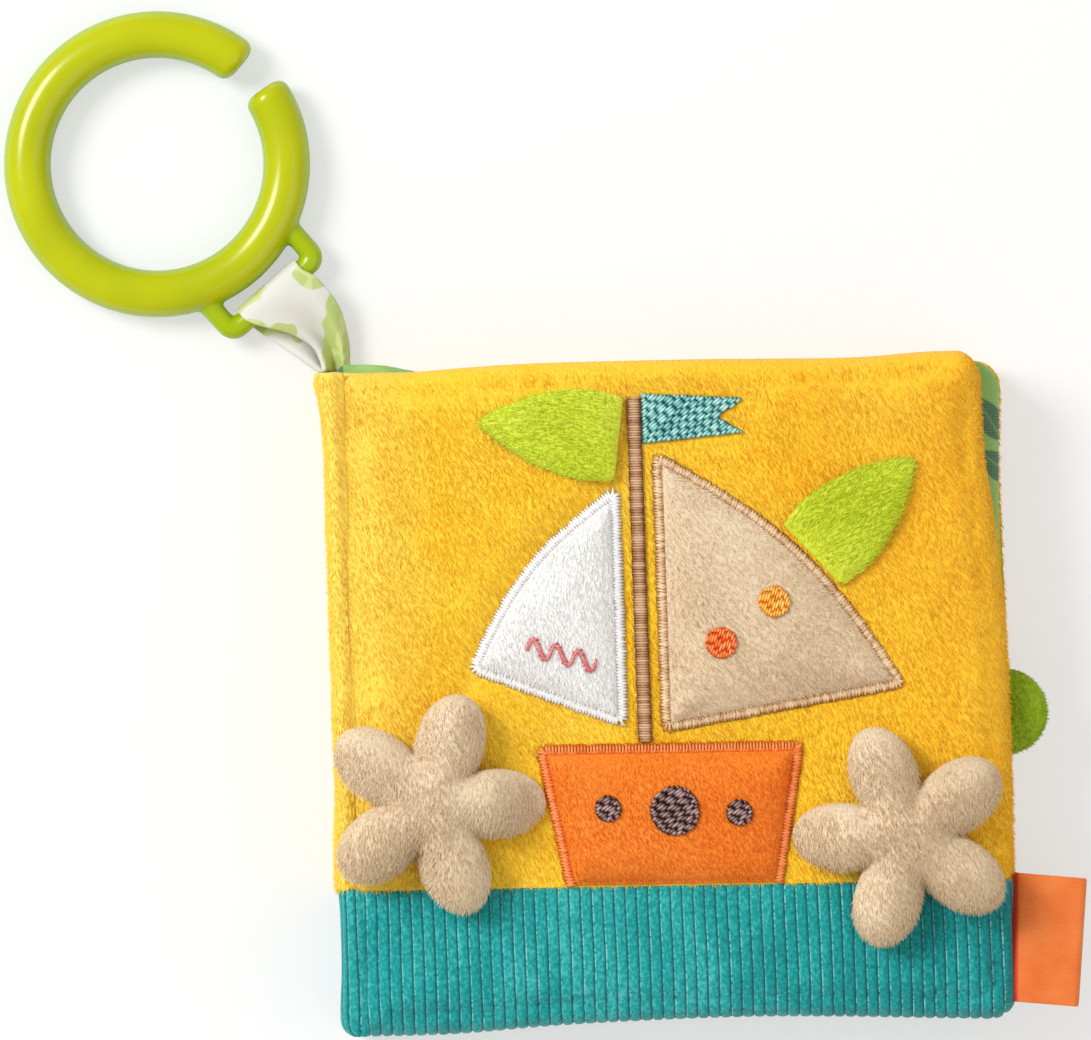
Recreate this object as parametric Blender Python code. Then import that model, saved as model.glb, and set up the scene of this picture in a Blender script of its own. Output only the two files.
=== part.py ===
"""A crinkle cloth book for a baby: padded cloth covers and pages on a cloth spine, a sewn-on picture
of a sailing boat with two stuffed starfish, a woven label, and a plastic clip ring on a ribbon loop.

The book lies closed on its back cover. X runs from the spine to the free edge, Y to the top edge and
Z up through the pages. The origin is on the face that the book rests on, under its middle.
"""

import math

import bmesh
import bpy
from mathutils import Vector

MM = 0.001

# The closed book
BOOK_WIDTH = 130 * MM
BOOK_HEIGHT = 128.6 * MM
EDGE_DROP = 2.2 * MM  # how much lower the free edge sits than the spine
COVER_THICKNESS = 6.5 * MM
PAGE_THICKNESS = 5 * MM
PAGE_COUNT = 2
LEAF_GAP = 0.5 * MM  # between a cover or page and the next, and beside the spine
SEAM_GAP = 0.3 * MM  # between cloths that touch
CORNER_RADIUS = 5 * MM  # at the free edge
FOLD_RADIUS = 1.5 * MM  # at the spine
DRAWN_IN = 0.7 * MM  # how far a padded side pulls in between its corners
BACK_OVERHANG = 1 * MM  # how far the back cover passes the front cover's free edge
BACK_LEAN = 3 * MM  # how much further it passes it at the top
PAGE_LEAN = 2 * MM
PAGE_RISE = 1 * MM  # how far the pages pass the covers' top edge

# Cloths and fillings
PLUSH = 1.2 * MM
COTTON = 0.8 * MM
LINING = 1 * MM
FOIL = 0.4 * MM
BAND_HEIGHT = 28 * MM

# How finely and sharply shapes are made
ROUND_STEPS = 16
CORNER_STEPS = 3
SIDE_STEPS = 4
SHARP_ANGLE = math.radians(45)
LEAST_MITRE_SHARE = 0.3
THREAD_SHOULDER_SHARE = 0.75
LEAF_EDGE_SHARES = ((2.0, -1.0), (0.7, -0.65), (0.0, 0.0), (0.7, 0.65), (2.0, 1.0))  # inset, height
TAB_EDGE_SHARES = ((1.0, -1.0), (0.25, -0.7), (0.0, 0.0), (0.25, 0.7), (1.0, 1.0))

# Spine
SPINE_CLOTH = 2.2 * MM
SPINE_BULGE = 0.9 * MM
SPINE_STEPS = 10
STITCH_LENGTH = 3 * MM
STITCH_WIDTH = 0.7 * MM

# Pages
PAGE_HEM = 6 * MM  # flat seam strip between the spine and the padding
HEM_THICKNESS = 1.6 * MM
TAB_REACH = 9 * MM
TAB_HEIGHT = 16 * MM
TAB_THICKNESS = 4 * MM
TAB_DROP = 4.5 * MM  # its middle, below the page's middle

# Profiles of padded edges, as shares of the padding's thickness: how far in, and how high
COVER_EDGE_SHARES = (
    (0.14, 0.0), (0.03, 0.24), (0.0, 0.5), (0.06, 0.74), (0.28, 0.88), (0.85, 0.96), (2.2, 1.0),
)
COVER_INNER_SHARES = ((0.14, 0.0), (0.0, 0.5), (0.28, 0.88), (2.2, 1.0))
PAGE_EDGE_SHARES = ((0.0, 0.0), (0.06, 0.42), (0.35, 0.78), (1.0, 0.93), (3.0, 1.0))
PAGE_INNER_SHARES = ((0.0, 0.0), (0.35, 0.78), (3.0, 1.0))
PAGE_FILL_SHARE = 0.9
LEAST_CORNER_SHARE = 0.3

# Sewn-on picture, whose corners are shares of half its width and half its height
PICTURE_MARGIN = 17 * MM  # at either side of the picture
PICTURE_WIDTH = BOOK_WIDTH - 2 * PICTURE_MARGIN
PICTURE_HEIGHT = 120 * MM
PATCH_THICKNESS = 2 * MM
PATCH_EDGE = 1.1 * MM
PATCH_EDGE_SHARE = 0.35
BORDER_WIDTH = 2.2 * MM
BORDER_HEIGHT = 1.3 * MM
HULL_SHARES = ((-0.40, -0.58), (0.44, -0.58), (0.54, -0.17), (-0.50, -0.17))
MAINSAIL_SHARES = ((0.01, -0.10), (0.96, 0.03), (0.01, 0.77))
JIB_SHARES = ((-0.17, -0.08), (-0.17, 0.66), (-0.76, 0.10))
MAINSAIL_BULGE = 5 * MM
JIB_BULGE = 3.5 * MM
SAIL_STEPS = 6
MAST_SHARES = ((-0.08, -0.15), (-0.08, 0.97))
MAST_WIDTH = 2.6 * MM
THREAD_HEIGHT = 0.8 * MM
PENNANT_SHARES = ((-0.04, 0.82), (0.36, 0.85), (0.26, 0.90), (0.36, 0.96), (-0.04, 0.98))
PORTHOLE_SHARES = ((-0.24, -0.36), (0.03, -0.37), (0.29, -0.38))
PORTHOLE_WIDTHS = (5 * MM, 9.5 * MM, 5 * MM)
SPOT_SHARES = ((0.24, 0.17), (0.46, 0.30))
SPOT_WIDTH = 6 * MM
WAVE_SHARES = ((-0.54, 0.17), (-0.27, 0.11))
WAVE_HEIGHT = 1.6 * MM
WAVE_THREAD = 1 * MM
WAVE_CRESTS = 3

# Loose flaps, each sewn along one straight edge
FLAP_THICKNESS = 3 * MM
FLAP_LENGTH = 27 * MM
FLAP_WIDTH = 16 * MM
FLAP_OUTLINE_SHARES = (
    (0.0, -0.5), (0.25, -0.55), (0.6, -0.42), (0.9, -0.16), (1.0, 0.0),
    (0.9, 0.16), (0.6, 0.42), (0.25, 0.55), (0.0, 0.5), (0.0, 0.0),
)
MAST_FLAP_SHARE = 0.88  # its place up the mast
LEECH_FLAP_SHARE = 0.46  # its place along the mainsail's free edge, from the foot
MAST_FLAP_TURN = math.radians(172)
LEECH_FLAP_TURN = math.radians(42)

# Stuffed starfish, each sewn to the hull by one arm's tip
STAR_REACH = 22 * MM
STAR_WAIST = 10 * MM
STAR_ARMS = 5
STAR_STEPS_PER_ARM = 8
STAR_POINTEDNESS = 0.55
STAR_PUFFINESS = 2.5
STAR_TOP = 7 * MM  # above its side seam
STAR_SEAM_HEIGHT = 4.6 * MM
STAR_SEWN_HEIGHT = 1 * MM
STAR_SEWN_RUN = 12 * MM
STAR_FILLING_GAP = 0.6 * MM
STAR_RING_SHARES = (1.0, 0.93, 0.8, 0.6, 0.35)
STAR_INNER_SHARES = (1.0, 0.8, 0.35)
STAR_HEIGHT_SHARES = {-1: -0.33, 1: -0.46}  # left and right, of half the picture's height

# Woven label in the free edge's seam
LABEL_REACH = 14 * MM
LABEL_HEIGHT = 25 * MM
LABEL_THICKNESS = 0.8 * MM
LABEL_FOOT = 3.2 * MM  # above the band's foot

# Clip ring and its bail
RING_DIAMETER = 60 * MM
RING_THICKNESS = 9.2 * MM
RING_STEPS = 44
RING_SIDES = 12
RING_MOUTH = 6.3 * MM
RING_END_ROUND = 1.6 * MM
RING_END_SHARES = ((0.0, 0.62), (0.3, 0.86), (1.0, 1.0))  # along the rounding, and the thickness there
RING_MOUTH_TURN = math.radians(40.5)
BAIL_TURN = math.radians(-50.2)
BAIL_THICKNESS = 4.2 * MM
BAIL_REACH = 36.5 * MM  # ring's middle to the bar's outer face
BAIL_SPAN = 21.7 * MM
BAIL_CORNER = 2.4 * MM
BAIL_SIDES = 8
RING_LEFT = 30.3 * MM  # ring's middle, left of the spine's outer face
RING_ABOVE = 41.9 * MM  # and above the covers' top edge

# Ribbon loop
RIBBON_WIDTH = 15 * MM
RIBBON_ROOT_WIDTH = 5.5 * MM
RIBBON_THICKNESS = 0.6 * MM
RIBBON_ROOT_SPLIT = 1 * MM
RIBBON_RUN_STEPS = 6
RIBBON_TURN_STEPS = 8

# How far each pivot lets its pieces turn, in degrees
PIVOT_LIMITS = {
    "spine_hinge": (0, 60),
    "front_cover_hinge": (0, 120),
    "page_1_hinge": (0, 60),  # half as far as the front cover
    "page_2_hinge": (-15, 0),  # a quarter as far as the spine, and back
    "left_starfish_hinge": (0, 110),
    "right_starfish_hinge": (0, 110),
    "mast_flap_hinge": (0, 95),
    "leech_flap_hinge": (0, 95),
    "label_hinge": (-45, 80),
    "ribbon_hinge": (-65, 45),
    "ring_hinge": (-100, 60),
}

# Where things come from the sizes above
SPINE_FACE = -BOOK_WIDTH / 2
LINING_X = SPINE_FACE + SPINE_CLOTH + SEAM_GAP
LEAF_LEFT = LINING_X + COTTON + LEAF_GAP
FREE_EDGE = BOOK_WIDTH / 2
FOOT = -BOOK_HEIGHT / 2
HEAD = BOOK_HEIGHT / 2
BAND_TOP = FOOT + BAND_HEIGHT
STACK_HEIGHT = 2 * COVER_THICKNESS + PAGE_COUNT * PAGE_THICKNESS + (PAGE_COUNT + 1) * LEAF_GAP
FRONT_SEAM = STACK_HEIGHT - COVER_THICKNESS
PICTURE_BASE = STACK_HEIGHT + SEAM_GAP


def linear(red, green, blue):
    """A colour written as 0 to 255, as the shader wants it."""
    def one(value):
        share = value / 255
        return share / 12.92 if share <= 0.04045 else ((share + 0.055) / 1.055) ** 2.4
    return (one(red), one(green), one(blue), 1.0)


def material(name, colour, roughness):
    made = bpy.data.materials.new(name)
    made.use_nodes = True
    shader = made.node_tree.nodes["Principled BSDF"]
    shader.inputs["Base Color"].default_value = linear(*colour)
    shader.inputs["Roughness"].default_value = roughness
    shader.inputs["Metallic"].default_value = 0.0
    return made


def clear_scene():
    for thing in list(bpy.data.objects):
        bpy.data.objects.remove(thing, do_unlink=True)


def dropped(point):
    """The whole book is slightly askew: its free edge sits lower than its spine."""
    return Vector((point[0], point[1] - EDGE_DROP * point[0] / BOOK_WIDTH, point[2]))


def pivot(name, at, parent=None):
    """An empty on a joint's axis, which carries the pieces that turn there."""
    made = bpy.data.objects.new(name, None)
    bpy.context.collection.objects.link(made)
    made["stands_at"] = tuple(at)
    made["limits_in_degrees"] = PIVOT_LIMITS.get(name, (0, 0))
    made.location = Vector(at)
    if parent:
        made.parent = parent
        made.location -= Vector(parent["stands_at"])
    return made


def finished(name, bm, finish, body, askew=True):
    """Makes the object from its mesh in book coordinates, with its origin on its body's pivot."""
    if askew:
        for vertex in bm.verts:
            vertex.co = dropped(vertex.co)
    bmesh.ops.recalc_face_normals(bm, faces=bm.faces)
    if bm.calc_volume(signed=True) < 0:
        bmesh.ops.reverse_faces(bm, faces=bm.faces)
    mesh = bpy.data.meshes.new(name)
    home = Vector(body["stands_at"])
    bmesh.ops.translate(bm, verts=bm.verts, vec=-home)
    bm.to_mesh(mesh)
    bm.free()
    mesh.shade_smooth()
    mesh.set_sharp_from_angle(angle=SHARP_ANGLE)
    mesh.materials.append(finish)
    made = bpy.data.objects.new(name, mesh)
    bpy.context.collection.objects.link(made)
    made.parent = body
    return made


def lofted(rings, closed=False, split=False):
    """A mesh through rings of points that all have the same count, capped or joined end to end.

    Split, each face is two triangles that meet at its wider ring's first point, so that nested
    skins bend alike.
    """
    bm = bmesh.new()
    loops = [[bm.verts.new(point) for point in ring] for ring in rings]
    count = len(loops[0])
    pairs = list(zip(loops, loops[1:]))
    if closed:
        pairs.append((loops[-1], loops[0]))
    for low, high in pairs:
        if split and width_of(high) > width_of(low):
            low, high = high, low
        for k in range(count):
            after = (k + 1) % count
            if split:
                bm.faces.new((low[k], low[after], high[after]))
                bm.faces.new((low[k], high[after], high[k]))
            else:
                bm.faces.new((low[k], low[after], high[after], high[k]))
    if not closed:
        bm.faces.new(loops[0])
        bm.faces.new(loops[-1])
    return bm


def width_of(loop):
    return max(vertex.co.x for vertex in loop) - min(vertex.co.x for vertex in loop)


def keep_one_side(bm, at, outward):
    """Cuts the mesh at a plane, drops what lies beyond it and closes the cut."""
    everything = bm.verts[:] + bm.edges[:] + bm.faces[:]
    cut = bmesh.ops.bisect_plane(bm, geom=everything, plane_co=at, plane_no=outward, clear_outer=True)
    edges = [edge for edge in cut["geom_cut"] if isinstance(edge, bmesh.types.BMEdge)]
    bmesh.ops.contextual_create(bm, geom=edges)
    return bm


def swept(path, section, closed=False, scales=None):
    """A section of (sideways, up) offsets carried along a path that lies level."""
    rings = []
    last = len(path) - 1
    for k, point in enumerate(path):
        before = path[k - 1] if k or closed else path[k]
        after = path[(k + 1) % len(path)] if k < last or closed else path[k]
        along = (Vector(after) - Vector(before)).normalized()
        side = Vector((along.y, -along.x, 0))
        size = scales[k] if scales else 1
        ring = [
            Vector(point) + side * (across * size) + Vector((0, 0, up * size))
            for across, up in section
        ]
        rings.append(ring)
    return lofted(rings, closed)


def round_section(radius, sides):
    turn = 2 * math.pi / sides
    return [(radius * math.cos(k * turn), radius * math.sin(k * turn)) for k in range(sides)]


def thread_section(width, height):
    """Flat below, rounded above, as satin stitch lies on cloth."""
    half = width / 2
    side, level = half * THREAD_SHOULDER_SHARE, height * THREAD_SHOULDER_SHARE
    return [(-half, 0), (half, 0), (side, level), (0, height), (-side, level)]


def offset(points, distance):
    """The closed outline moved inwards by a distance. It runs anticlockwise."""
    moved = []
    count = len(points)
    for k, point in enumerate(points):
        here = Vector(point[:2])
        one = (here - Vector(points[k - 1][:2])).normalized()
        two = (Vector(points[(k + 1) % count][:2]) - here).normalized()
        inward = Vector((-one.y - two.y, one.x + two.x))
        share = max(1 + one.dot(two), LEAST_MITRE_SHARE)
        moved.append(tuple(here + inward * (distance / share)))
    return moved


def at_height(points, z):
    return [Vector((x, y, z)) for x, y in points]


class Panel:
    """The outline of a cover or a page: a rounded rectangle with drawn-in sides."""

    def __init__(self, left, right, bottom, top, lean):
        self.left, self.right, self.bottom, self.top, self.lean = left, right, bottom, top, lean

    def ring(self, inset, z):
        left, right = self.left + inset, self.right - inset
        bottom, top = self.bottom + inset, self.top - inset
        sizes = (CORNER_RADIUS, FOLD_RADIUS)
        free, fold = (max(size - inset, size * LEAST_CORNER_SHARE) for size in sizes)
        corners = (
            (right - free, bottom + free, free), (right - free, top - free, free),
            (left + fold, top - fold, fold), (left + fold, bottom + fold, fold),
        )
        pulls = ((-1, 0), (0, -1), (0, 0), (0, 1))
        points = []
        for turn, (x, y, radius) in enumerate(corners):
            for step in range(CORNER_STEPS + 1):
                angle = math.radians(90) * (turn - 1 + step / CORNER_STEPS)
                points.append((x + radius * math.cos(angle), y + radius * math.sin(angle)))
            start = points[-1]
            next_x, next_y, radius = corners[(turn + 1) % len(corners)]
            angle = math.radians(90) * turn
            end = (next_x + radius * math.cos(angle), next_y + radius * math.sin(angle))
            for step in range(1, SIDE_STEPS):
                share = step / SIDE_STEPS
                pull = DRAWN_IN * math.sin(math.pi * share)
                points.append((
                    start[0] + (end[0] - start[0]) * share + pulls[turn][0] * pull,
                    start[1] + (end[1] - start[1]) * share + pulls[turn][1] * pull,
                ))
        return [Vector((self.leaning(x, y), y, z)) for x, y in points]

    def leaning(self, x, y):
        up = (y - self.bottom) / (self.top - self.bottom)
        out = (x - self.left) / (self.right - self.left)
        return x + self.lean * up * out


def case(panel, base, rise, thickness, wall, outer, inner):
    """An open padded case from its seam to its crown, with a wall of one cloth."""
    rings = [
        panel.ring(inset * thickness + wall, base + rise * height * (thickness - wall))
        for inset, height in reversed(inner)
    ]
    rings += [panel.ring(inset * thickness, base + rise * height * thickness) for inset, height in outer]
    return lofted(rings)


def slab(panel, inset, low, high):
    return lofted([panel.ring(inset, low), panel.ring(inset, high)])


def cover(name, panel, base, rise, body, cloths):
    """A padded cover: plush and corduroy outside, wadding and foil inside, lining over the pages."""
    for part, finish, outward in (("plush", cloths["plush"], -1), ("corduroy", cloths["corduroy"], 1)):
        bm = case(panel, base, rise, COVER_THICKNESS, PLUSH, COVER_EDGE_SHARES, COVER_INNER_SHARES)
        at = (0, BAND_TOP - outward * SEAM_GAP / 2, 0)
        finished(f"{name}_{part}", keep_one_side(bm, at, (0, outward, 0)), finish, body)
    rim = COVER_EDGE_SHARES[0][0] * COVER_THICKNESS + PLUSH + SEAM_GAP
    finished(f"{name}_lining", slab(panel, rim, base, base + rise * LINING), cloths["lining"], body)
    foil = LINING + SEAM_GAP
    bm = slab(panel, rim, base + rise * foil, base + rise * (foil + FOIL))
    finished(f"{name}_crinkle_foil", bm, cloths["foil"], body)
    floor = foil + FOIL + SEAM_GAP
    ceiling = COVER_THICKNESS - PLUSH - SEAM_GAP
    rings = [panel.ring(rim, base + rise * floor)]
    for inset, height in COVER_INNER_SHARES[2:]:
        level = floor + (ceiling - floor) * height
        rings.append(panel.ring(inset * COVER_THICKNESS + PLUSH + SEAM_GAP, base + rise * level))
    finished(f"{name}_wadding", lofted(rings), cloths["wadding"], body)


def page(name, panel, middle, body, cloths):
    """A padded page of two printed cottons on a flat seam strip."""
    padded = Panel(panel.left + PAGE_HEM, panel.right, panel.bottom, panel.top, panel.lean)
    half = (PAGE_THICKNESS - SEAM_GAP) / 2
    for part, rise in (("front", 1), ("back", -1)):
        seam = middle + rise * SEAM_GAP / 2
        bm = case(padded, seam, rise, half, COTTON, PAGE_EDGE_SHARES, PAGE_INNER_SHARES)
        finished(f"{name}_{part}", bm, cloths[part], body)
    inset = PAGE_EDGE_SHARES[3][0] * half + COTTON + SEAM_GAP
    room = (half - COTTON) * PAGE_FILL_SHARE + SEAM_GAP / 2 - SEAM_GAP
    bm = slab(padded, inset, middle - room, middle - room + FOIL)
    finished(f"{name}_crinkle_foil", bm, cloths["foil"], body)
    bm = slab(padded, inset, middle - room + FOIL + SEAM_GAP, middle + room)
    finished(f"{name}_wadding", bm, cloths["wadding"], body)
    radius = HEM_THICKNESS / 2
    turns = [math.radians(90) * (1 + k / CORNER_STEPS) for k in range(2 * CORNER_STEPS + 1)]
    shape = [(panel.left + radius + radius * math.cos(a), middle + radius * math.sin(a)) for a in turns]
    shape += [(padded.left - SEAM_GAP, middle - radius), (padded.left - SEAM_GAP, middle + radius)]
    low, high = panel.bottom + CORNER_RADIUS, panel.top - CORNER_RADIUS
    rings = [[Vector((x, y, z)) for x, z in shape] for y in (low, high)]
    finished(f"{name}_seam_strip", lofted(rings), cloths["seam"], body)


def page_tab(panel, middle, body, finish):
    """A padded half disc sewn into the page's free edge."""
    half = TAB_HEIGHT / 2
    height = (panel.top + panel.bottom) / 2 - TAB_DROP
    side = panel.leaning(panel.right, height) + SEAM_GAP
    steps = 2 * SIDE_STEPS
    outline = [
        (side + TAB_REACH * math.cos(angle), height + half * math.sin(angle))
        for angle in (math.radians(180) * (k / steps - 0.5) for k in range(steps + 1))
    ]
    thick = TAB_THICKNESS / 2
    rings = [
        at_height(offset(outline, thick * inset), middle + thick * level)
        for inset, level in TAB_EDGE_SHARES
    ]
    finished("page_tab", lofted(rings), finish, body)


def spine(body, cloths):
    """A rounded strip of plush and corduroy with a lining, from the back cover up to the front."""
    low, high = LEAF_GAP, STACK_HEIGHT - LEAF_GAP
    outer = []
    for step in range(SPINE_STEPS + 1):
        share = step / SPINE_STEPS
        pull = SPINE_BULGE * (1 - math.sin(math.pi * share)) ** 2
        outer.append((SPINE_FACE + pull, low + (high - low) * share))
    shape = outer + [(SPINE_FACE + SPINE_CLOTH, high), (SPINE_FACE + SPINE_CLOTH, low)]
    ends = (FOOT + SPINE_BULGE, HEAD - SPINE_BULGE)
    for part, finish, outward in (("plush", cloths["plush"], -1), ("corduroy", cloths["corduroy"], 1)):
        bm = lofted([[Vector((x, y, z)) for x, z in shape] for y in ends])
        at = (0, BAND_TOP - outward * SEAM_GAP / 2, 0)
        finished(f"spine_{part}", keep_one_side(bm, at, (0, outward, 0)), finish, body)
    inner = ((LINING_X, low), (LINING_X + COTTON, low), (LINING_X + COTTON, high), (LINING_X, high))
    bm = lofted([[Vector((x, y, z)) for x, z in inner] for y in ends])
    finished("spine_lining", bm, cloths["lining"], body)


def picture_point(share):
    return Vector((share[0] * PICTURE_WIDTH / 2, share[1] * PICTURE_HEIGHT / 2))


def bulged(corners, bulges):
    """A closed outline through the corners, whose sides swell outwards by the given amounts."""
    points = []
    for k, bulge in enumerate(bulges):
        start, end = corners[k], corners[(k + 1) % len(corners)]
        along = end - start
        out = Vector((along.y, -along.x)).normalized()
        steps = SAIL_STEPS if bulge else 1
        for step in range(steps):
            share = step / steps
            points.append(start + along * share + out * bulge * math.sin(math.pi * share))
    return points


def patch(name, outline, body, finish, sides=None):
    """A padded plush patch with a border of satin stitch round it, or along some of its sides."""
    inner = offset(outline, BORDER_WIDTH / 2 + SEAM_GAP)
    top = PICTURE_BASE + PATCH_THICKNESS
    rings = [
        at_height(inner, PICTURE_BASE),
        at_height(inner, PICTURE_BASE + PATCH_THICKNESS / 2),
        at_height(offset(inner, PATCH_EDGE * PATCH_EDGE_SHARE), top - PATCH_EDGE * PATCH_EDGE_SHARE),
        at_height(offset(inner, PATCH_EDGE), top),
    ]
    finished(name, lofted(rings), finish, body)
    path = at_height(outline if sides is None else sides, PICTURE_BASE)
    bm = swept(path, thread_section(BORDER_WIDTH, BORDER_HEIGHT), closed=sides is None)
    finished(f"{name}_border", bm, finish, body)


def raised(name, outline, base, height, body, finish):
    """Embroidery that stands a little above what it is worked on."""
    rings = [at_height(outline, base), at_height(outline, base + height / 2)]
    rings.append(at_height(offset(outline, height / 2), base + height))
    finished(name, lofted(rings), finish, body)


def disc(middle, width):
    turns = [2 * math.pi * k / ROUND_STEPS for k in range(ROUND_STEPS)]
    return [(middle.x + width / 2 * math.cos(a), middle.y + width / 2 * math.sin(a)) for a in turns]


def picture(body, cloths):
    """The boat: hull, two sails, mast, pennant, portholes, spots and a stitched wave."""
    hull = [picture_point(share) for share in HULL_SHARES]
    hull[0].y = hull[1].y = BAND_TOP + BORDER_WIDTH / 2 + SEAM_GAP
    patch("hull", hull, body, cloths["hull"], sides=[hull[1], hull[2], hull[3], hull[0]])
    mainsail = bulged([picture_point(share) for share in MAINSAIL_SHARES], (0, MAINSAIL_BULGE, 0))
    patch("mainsail", mainsail, body, cloths["mainsail"])
    jib = bulged([picture_point(share) for share in JIB_SHARES], (0, JIB_BULGE, 0))
    patch("jib", jib, body, cloths["jib"])

    foot, head = (picture_point(share) for share in MAST_SHARES)
    foot.y = hull[3].y + BORDER_WIDTH / 2 + SEAM_GAP
    path = at_height((foot, head), PICTURE_BASE)
    finished("mast", swept(path, thread_section(MAST_WIDTH, BORDER_HEIGHT)), cloths["mast"], body)
    pennant = [picture_point(share) for share in PENNANT_SHARES]
    pennant[0].x = pennant[-1].x = foot.x + MAST_WIDTH / 2 + SEAM_GAP
    raised("pennant", pennant, PICTURE_BASE, THREAD_HEIGHT, body, cloths["pennant"])

    on_patch = PICTURE_BASE + PATCH_THICKNESS + SEAM_GAP
    portholes = zip(("bow", "middle", "stern"), PORTHOLE_SHARES, PORTHOLE_WIDTHS)
    for name, share, width in portholes:
        outline = disc(picture_point(share), width)
        raised(f"{name}_porthole", outline, on_patch, THREAD_HEIGHT, body, cloths["porthole"])
    for name, share in zip(("orange_spot", "yellow_spot"), SPOT_SHARES):
        outline = disc(picture_point(share), SPOT_WIDTH)
        raised(name, outline, on_patch, THREAD_HEIGHT, body, cloths[name])
    start, end = (picture_point(share) for share in WAVE_SHARES)
    path = []
    steps = WAVE_CRESTS * SIDE_STEPS * 2
    for step in range(steps + 1):
        share = step / steps
        crest = WAVE_HEIGHT * math.sin(2 * math.pi * WAVE_CRESTS * share)
        x, y = start + (end - start) * share
        path.append((x, y + crest, on_patch))
    bm = swept(path, thread_section(WAVE_THREAD, THREAD_HEIGHT))
    finished("stitched_wave", bm, cloths["wave"], body)
    return hull, mainsail


def flap(name, root, turn, body, finish):
    """A loose two-sided plush leaf, thin at its sewn edge."""
    along = Vector((math.cos(turn), math.sin(turn)))
    across = Vector((-along.y, along.x))
    outline = [
        root + along * out * FLAP_LENGTH + across * side * FLAP_WIDTH
        for out, side in FLAP_OUTLINE_SHARES
    ]
    thick = FLAP_THICKNESS / 2
    middle = PICTURE_BASE + thick
    rings = [
        at_height(offset(outline, thick * inset), middle + thick * level)
        for inset, level in LEAF_EDGE_SHARES
    ]
    finished(name, lofted(rings), finish, body)


def star_outline():
    """Five rounded arms about the origin, one of them along +X."""
    points = []
    count = STAR_ARMS * STAR_STEPS_PER_ARM
    for k in range(count):
        angle = 2 * math.pi * k / count
        lobe = ((1 + math.cos(STAR_ARMS * angle)) / 2) ** STAR_POINTEDNESS
        reach = STAR_WAIST + (STAR_REACH - STAR_WAIST) * lobe
        points.append((reach * math.cos(angle), reach * math.sin(angle)))
    return points


def starfish(side, tip, body, cloths):
    """A stuffed starfish whose sewn arm points to the hull and flattens towards its seam."""
    name = "left_starfish" if side < 0 else "right_starfish"
    outline = star_outline()

    def ring(points, scale, swell, end=STAR_REACH):
        """Points at a height over or under the side seam; swell is the height at the crown."""
        fullness = math.sqrt(1 - scale ** STAR_PUFFINESS)
        placed = []
        for x, y in points:
            x, y = min(x * scale, end), y * scale
            run = min(max((STAR_REACH - x) / STAR_SEWN_RUN, 0), 1)
            ramp = run * run * (3 - 2 * run)
            least = STAR_SEWN_HEIGHT / STAR_SEAM_HEIGHT
            loft = least + (1 - least) * ramp
            level = STAR_SEAM_HEIGHT * loft + swell * fullness * loft
            place = Vector((tip.x + side * (STAR_REACH - x), tip.y + y))
            placed.append(Vector((place.x, place.y, PICTURE_BASE + level)))
        return placed

    def skin(depth, rise):
        seam = rise * SEAM_GAP / 2
        lined = offset(outline, PLUSH)
        rings = [ring(lined, s, seam + rise * (depth - PLUSH)) for s in reversed(STAR_INNER_SHARES)]
        rings += [ring(outline, s, seam + rise * depth) for s in STAR_RING_SHARES]
        for loop in rings[len(STAR_INNER_SHARES) - 1:len(STAR_INNER_SHARES) + 1]:
            for point in loop:
                point.z += seam
        return lofted(rings, split=True)

    under = STAR_SEAM_HEIGHT - SEAM_GAP / 2
    finished(f"{name}_front", skin(STAR_TOP, 1), cloths["beige"], body)
    finished(f"{name}_back", skin(under, -1), cloths["beige"], body)
    core = offset(outline, PLUSH + STAR_FILLING_GAP)
    end = STAR_REACH - STAR_SEWN_RUN
    low, high = PLUSH + STAR_FILLING_GAP - under, STAR_TOP - PLUSH - STAR_FILLING_GAP
    rings = [ring(core, s, low, end) for s in reversed(STAR_INNER_SHARES)]
    rings += [ring(core, s, high, end) for s in STAR_INNER_SHARES[1:]]
    finished(f"{name}_filling", lofted(rings, split=True), cloths["wadding"], body)


def label(at, body, finish):
    """A folded woven tape, rounded at its sewn edge."""
    half = LABEL_THICKNESS / 2
    turns = [math.radians(90) * (1 + k / CORNER_STEPS) for k in range(2 * CORNER_STEPS + 1)]
    shape = [(at.x + half * math.cos(a), at.z + half * math.sin(a)) for a in turns]
    shape += [(at.x + LABEL_REACH, at.z - half), (at.x + LABEL_REACH, at.z + half)]
    ends = (at.y - LABEL_HEIGHT / 2, at.y + LABEL_HEIGHT / 2)
    bm = lofted([[Vector((x, y, z)) for x, z in shape] for y in ends])
    finished("woven_label", bm, finish, body)


def turned(middle, turn, out, side=0):
    """A level point by its distance from the ring's middle along a direction, and beside it."""
    along = Vector((math.cos(turn), math.sin(turn)))
    return middle + along * out + Vector((-along.y, along.x)) * side


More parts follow.
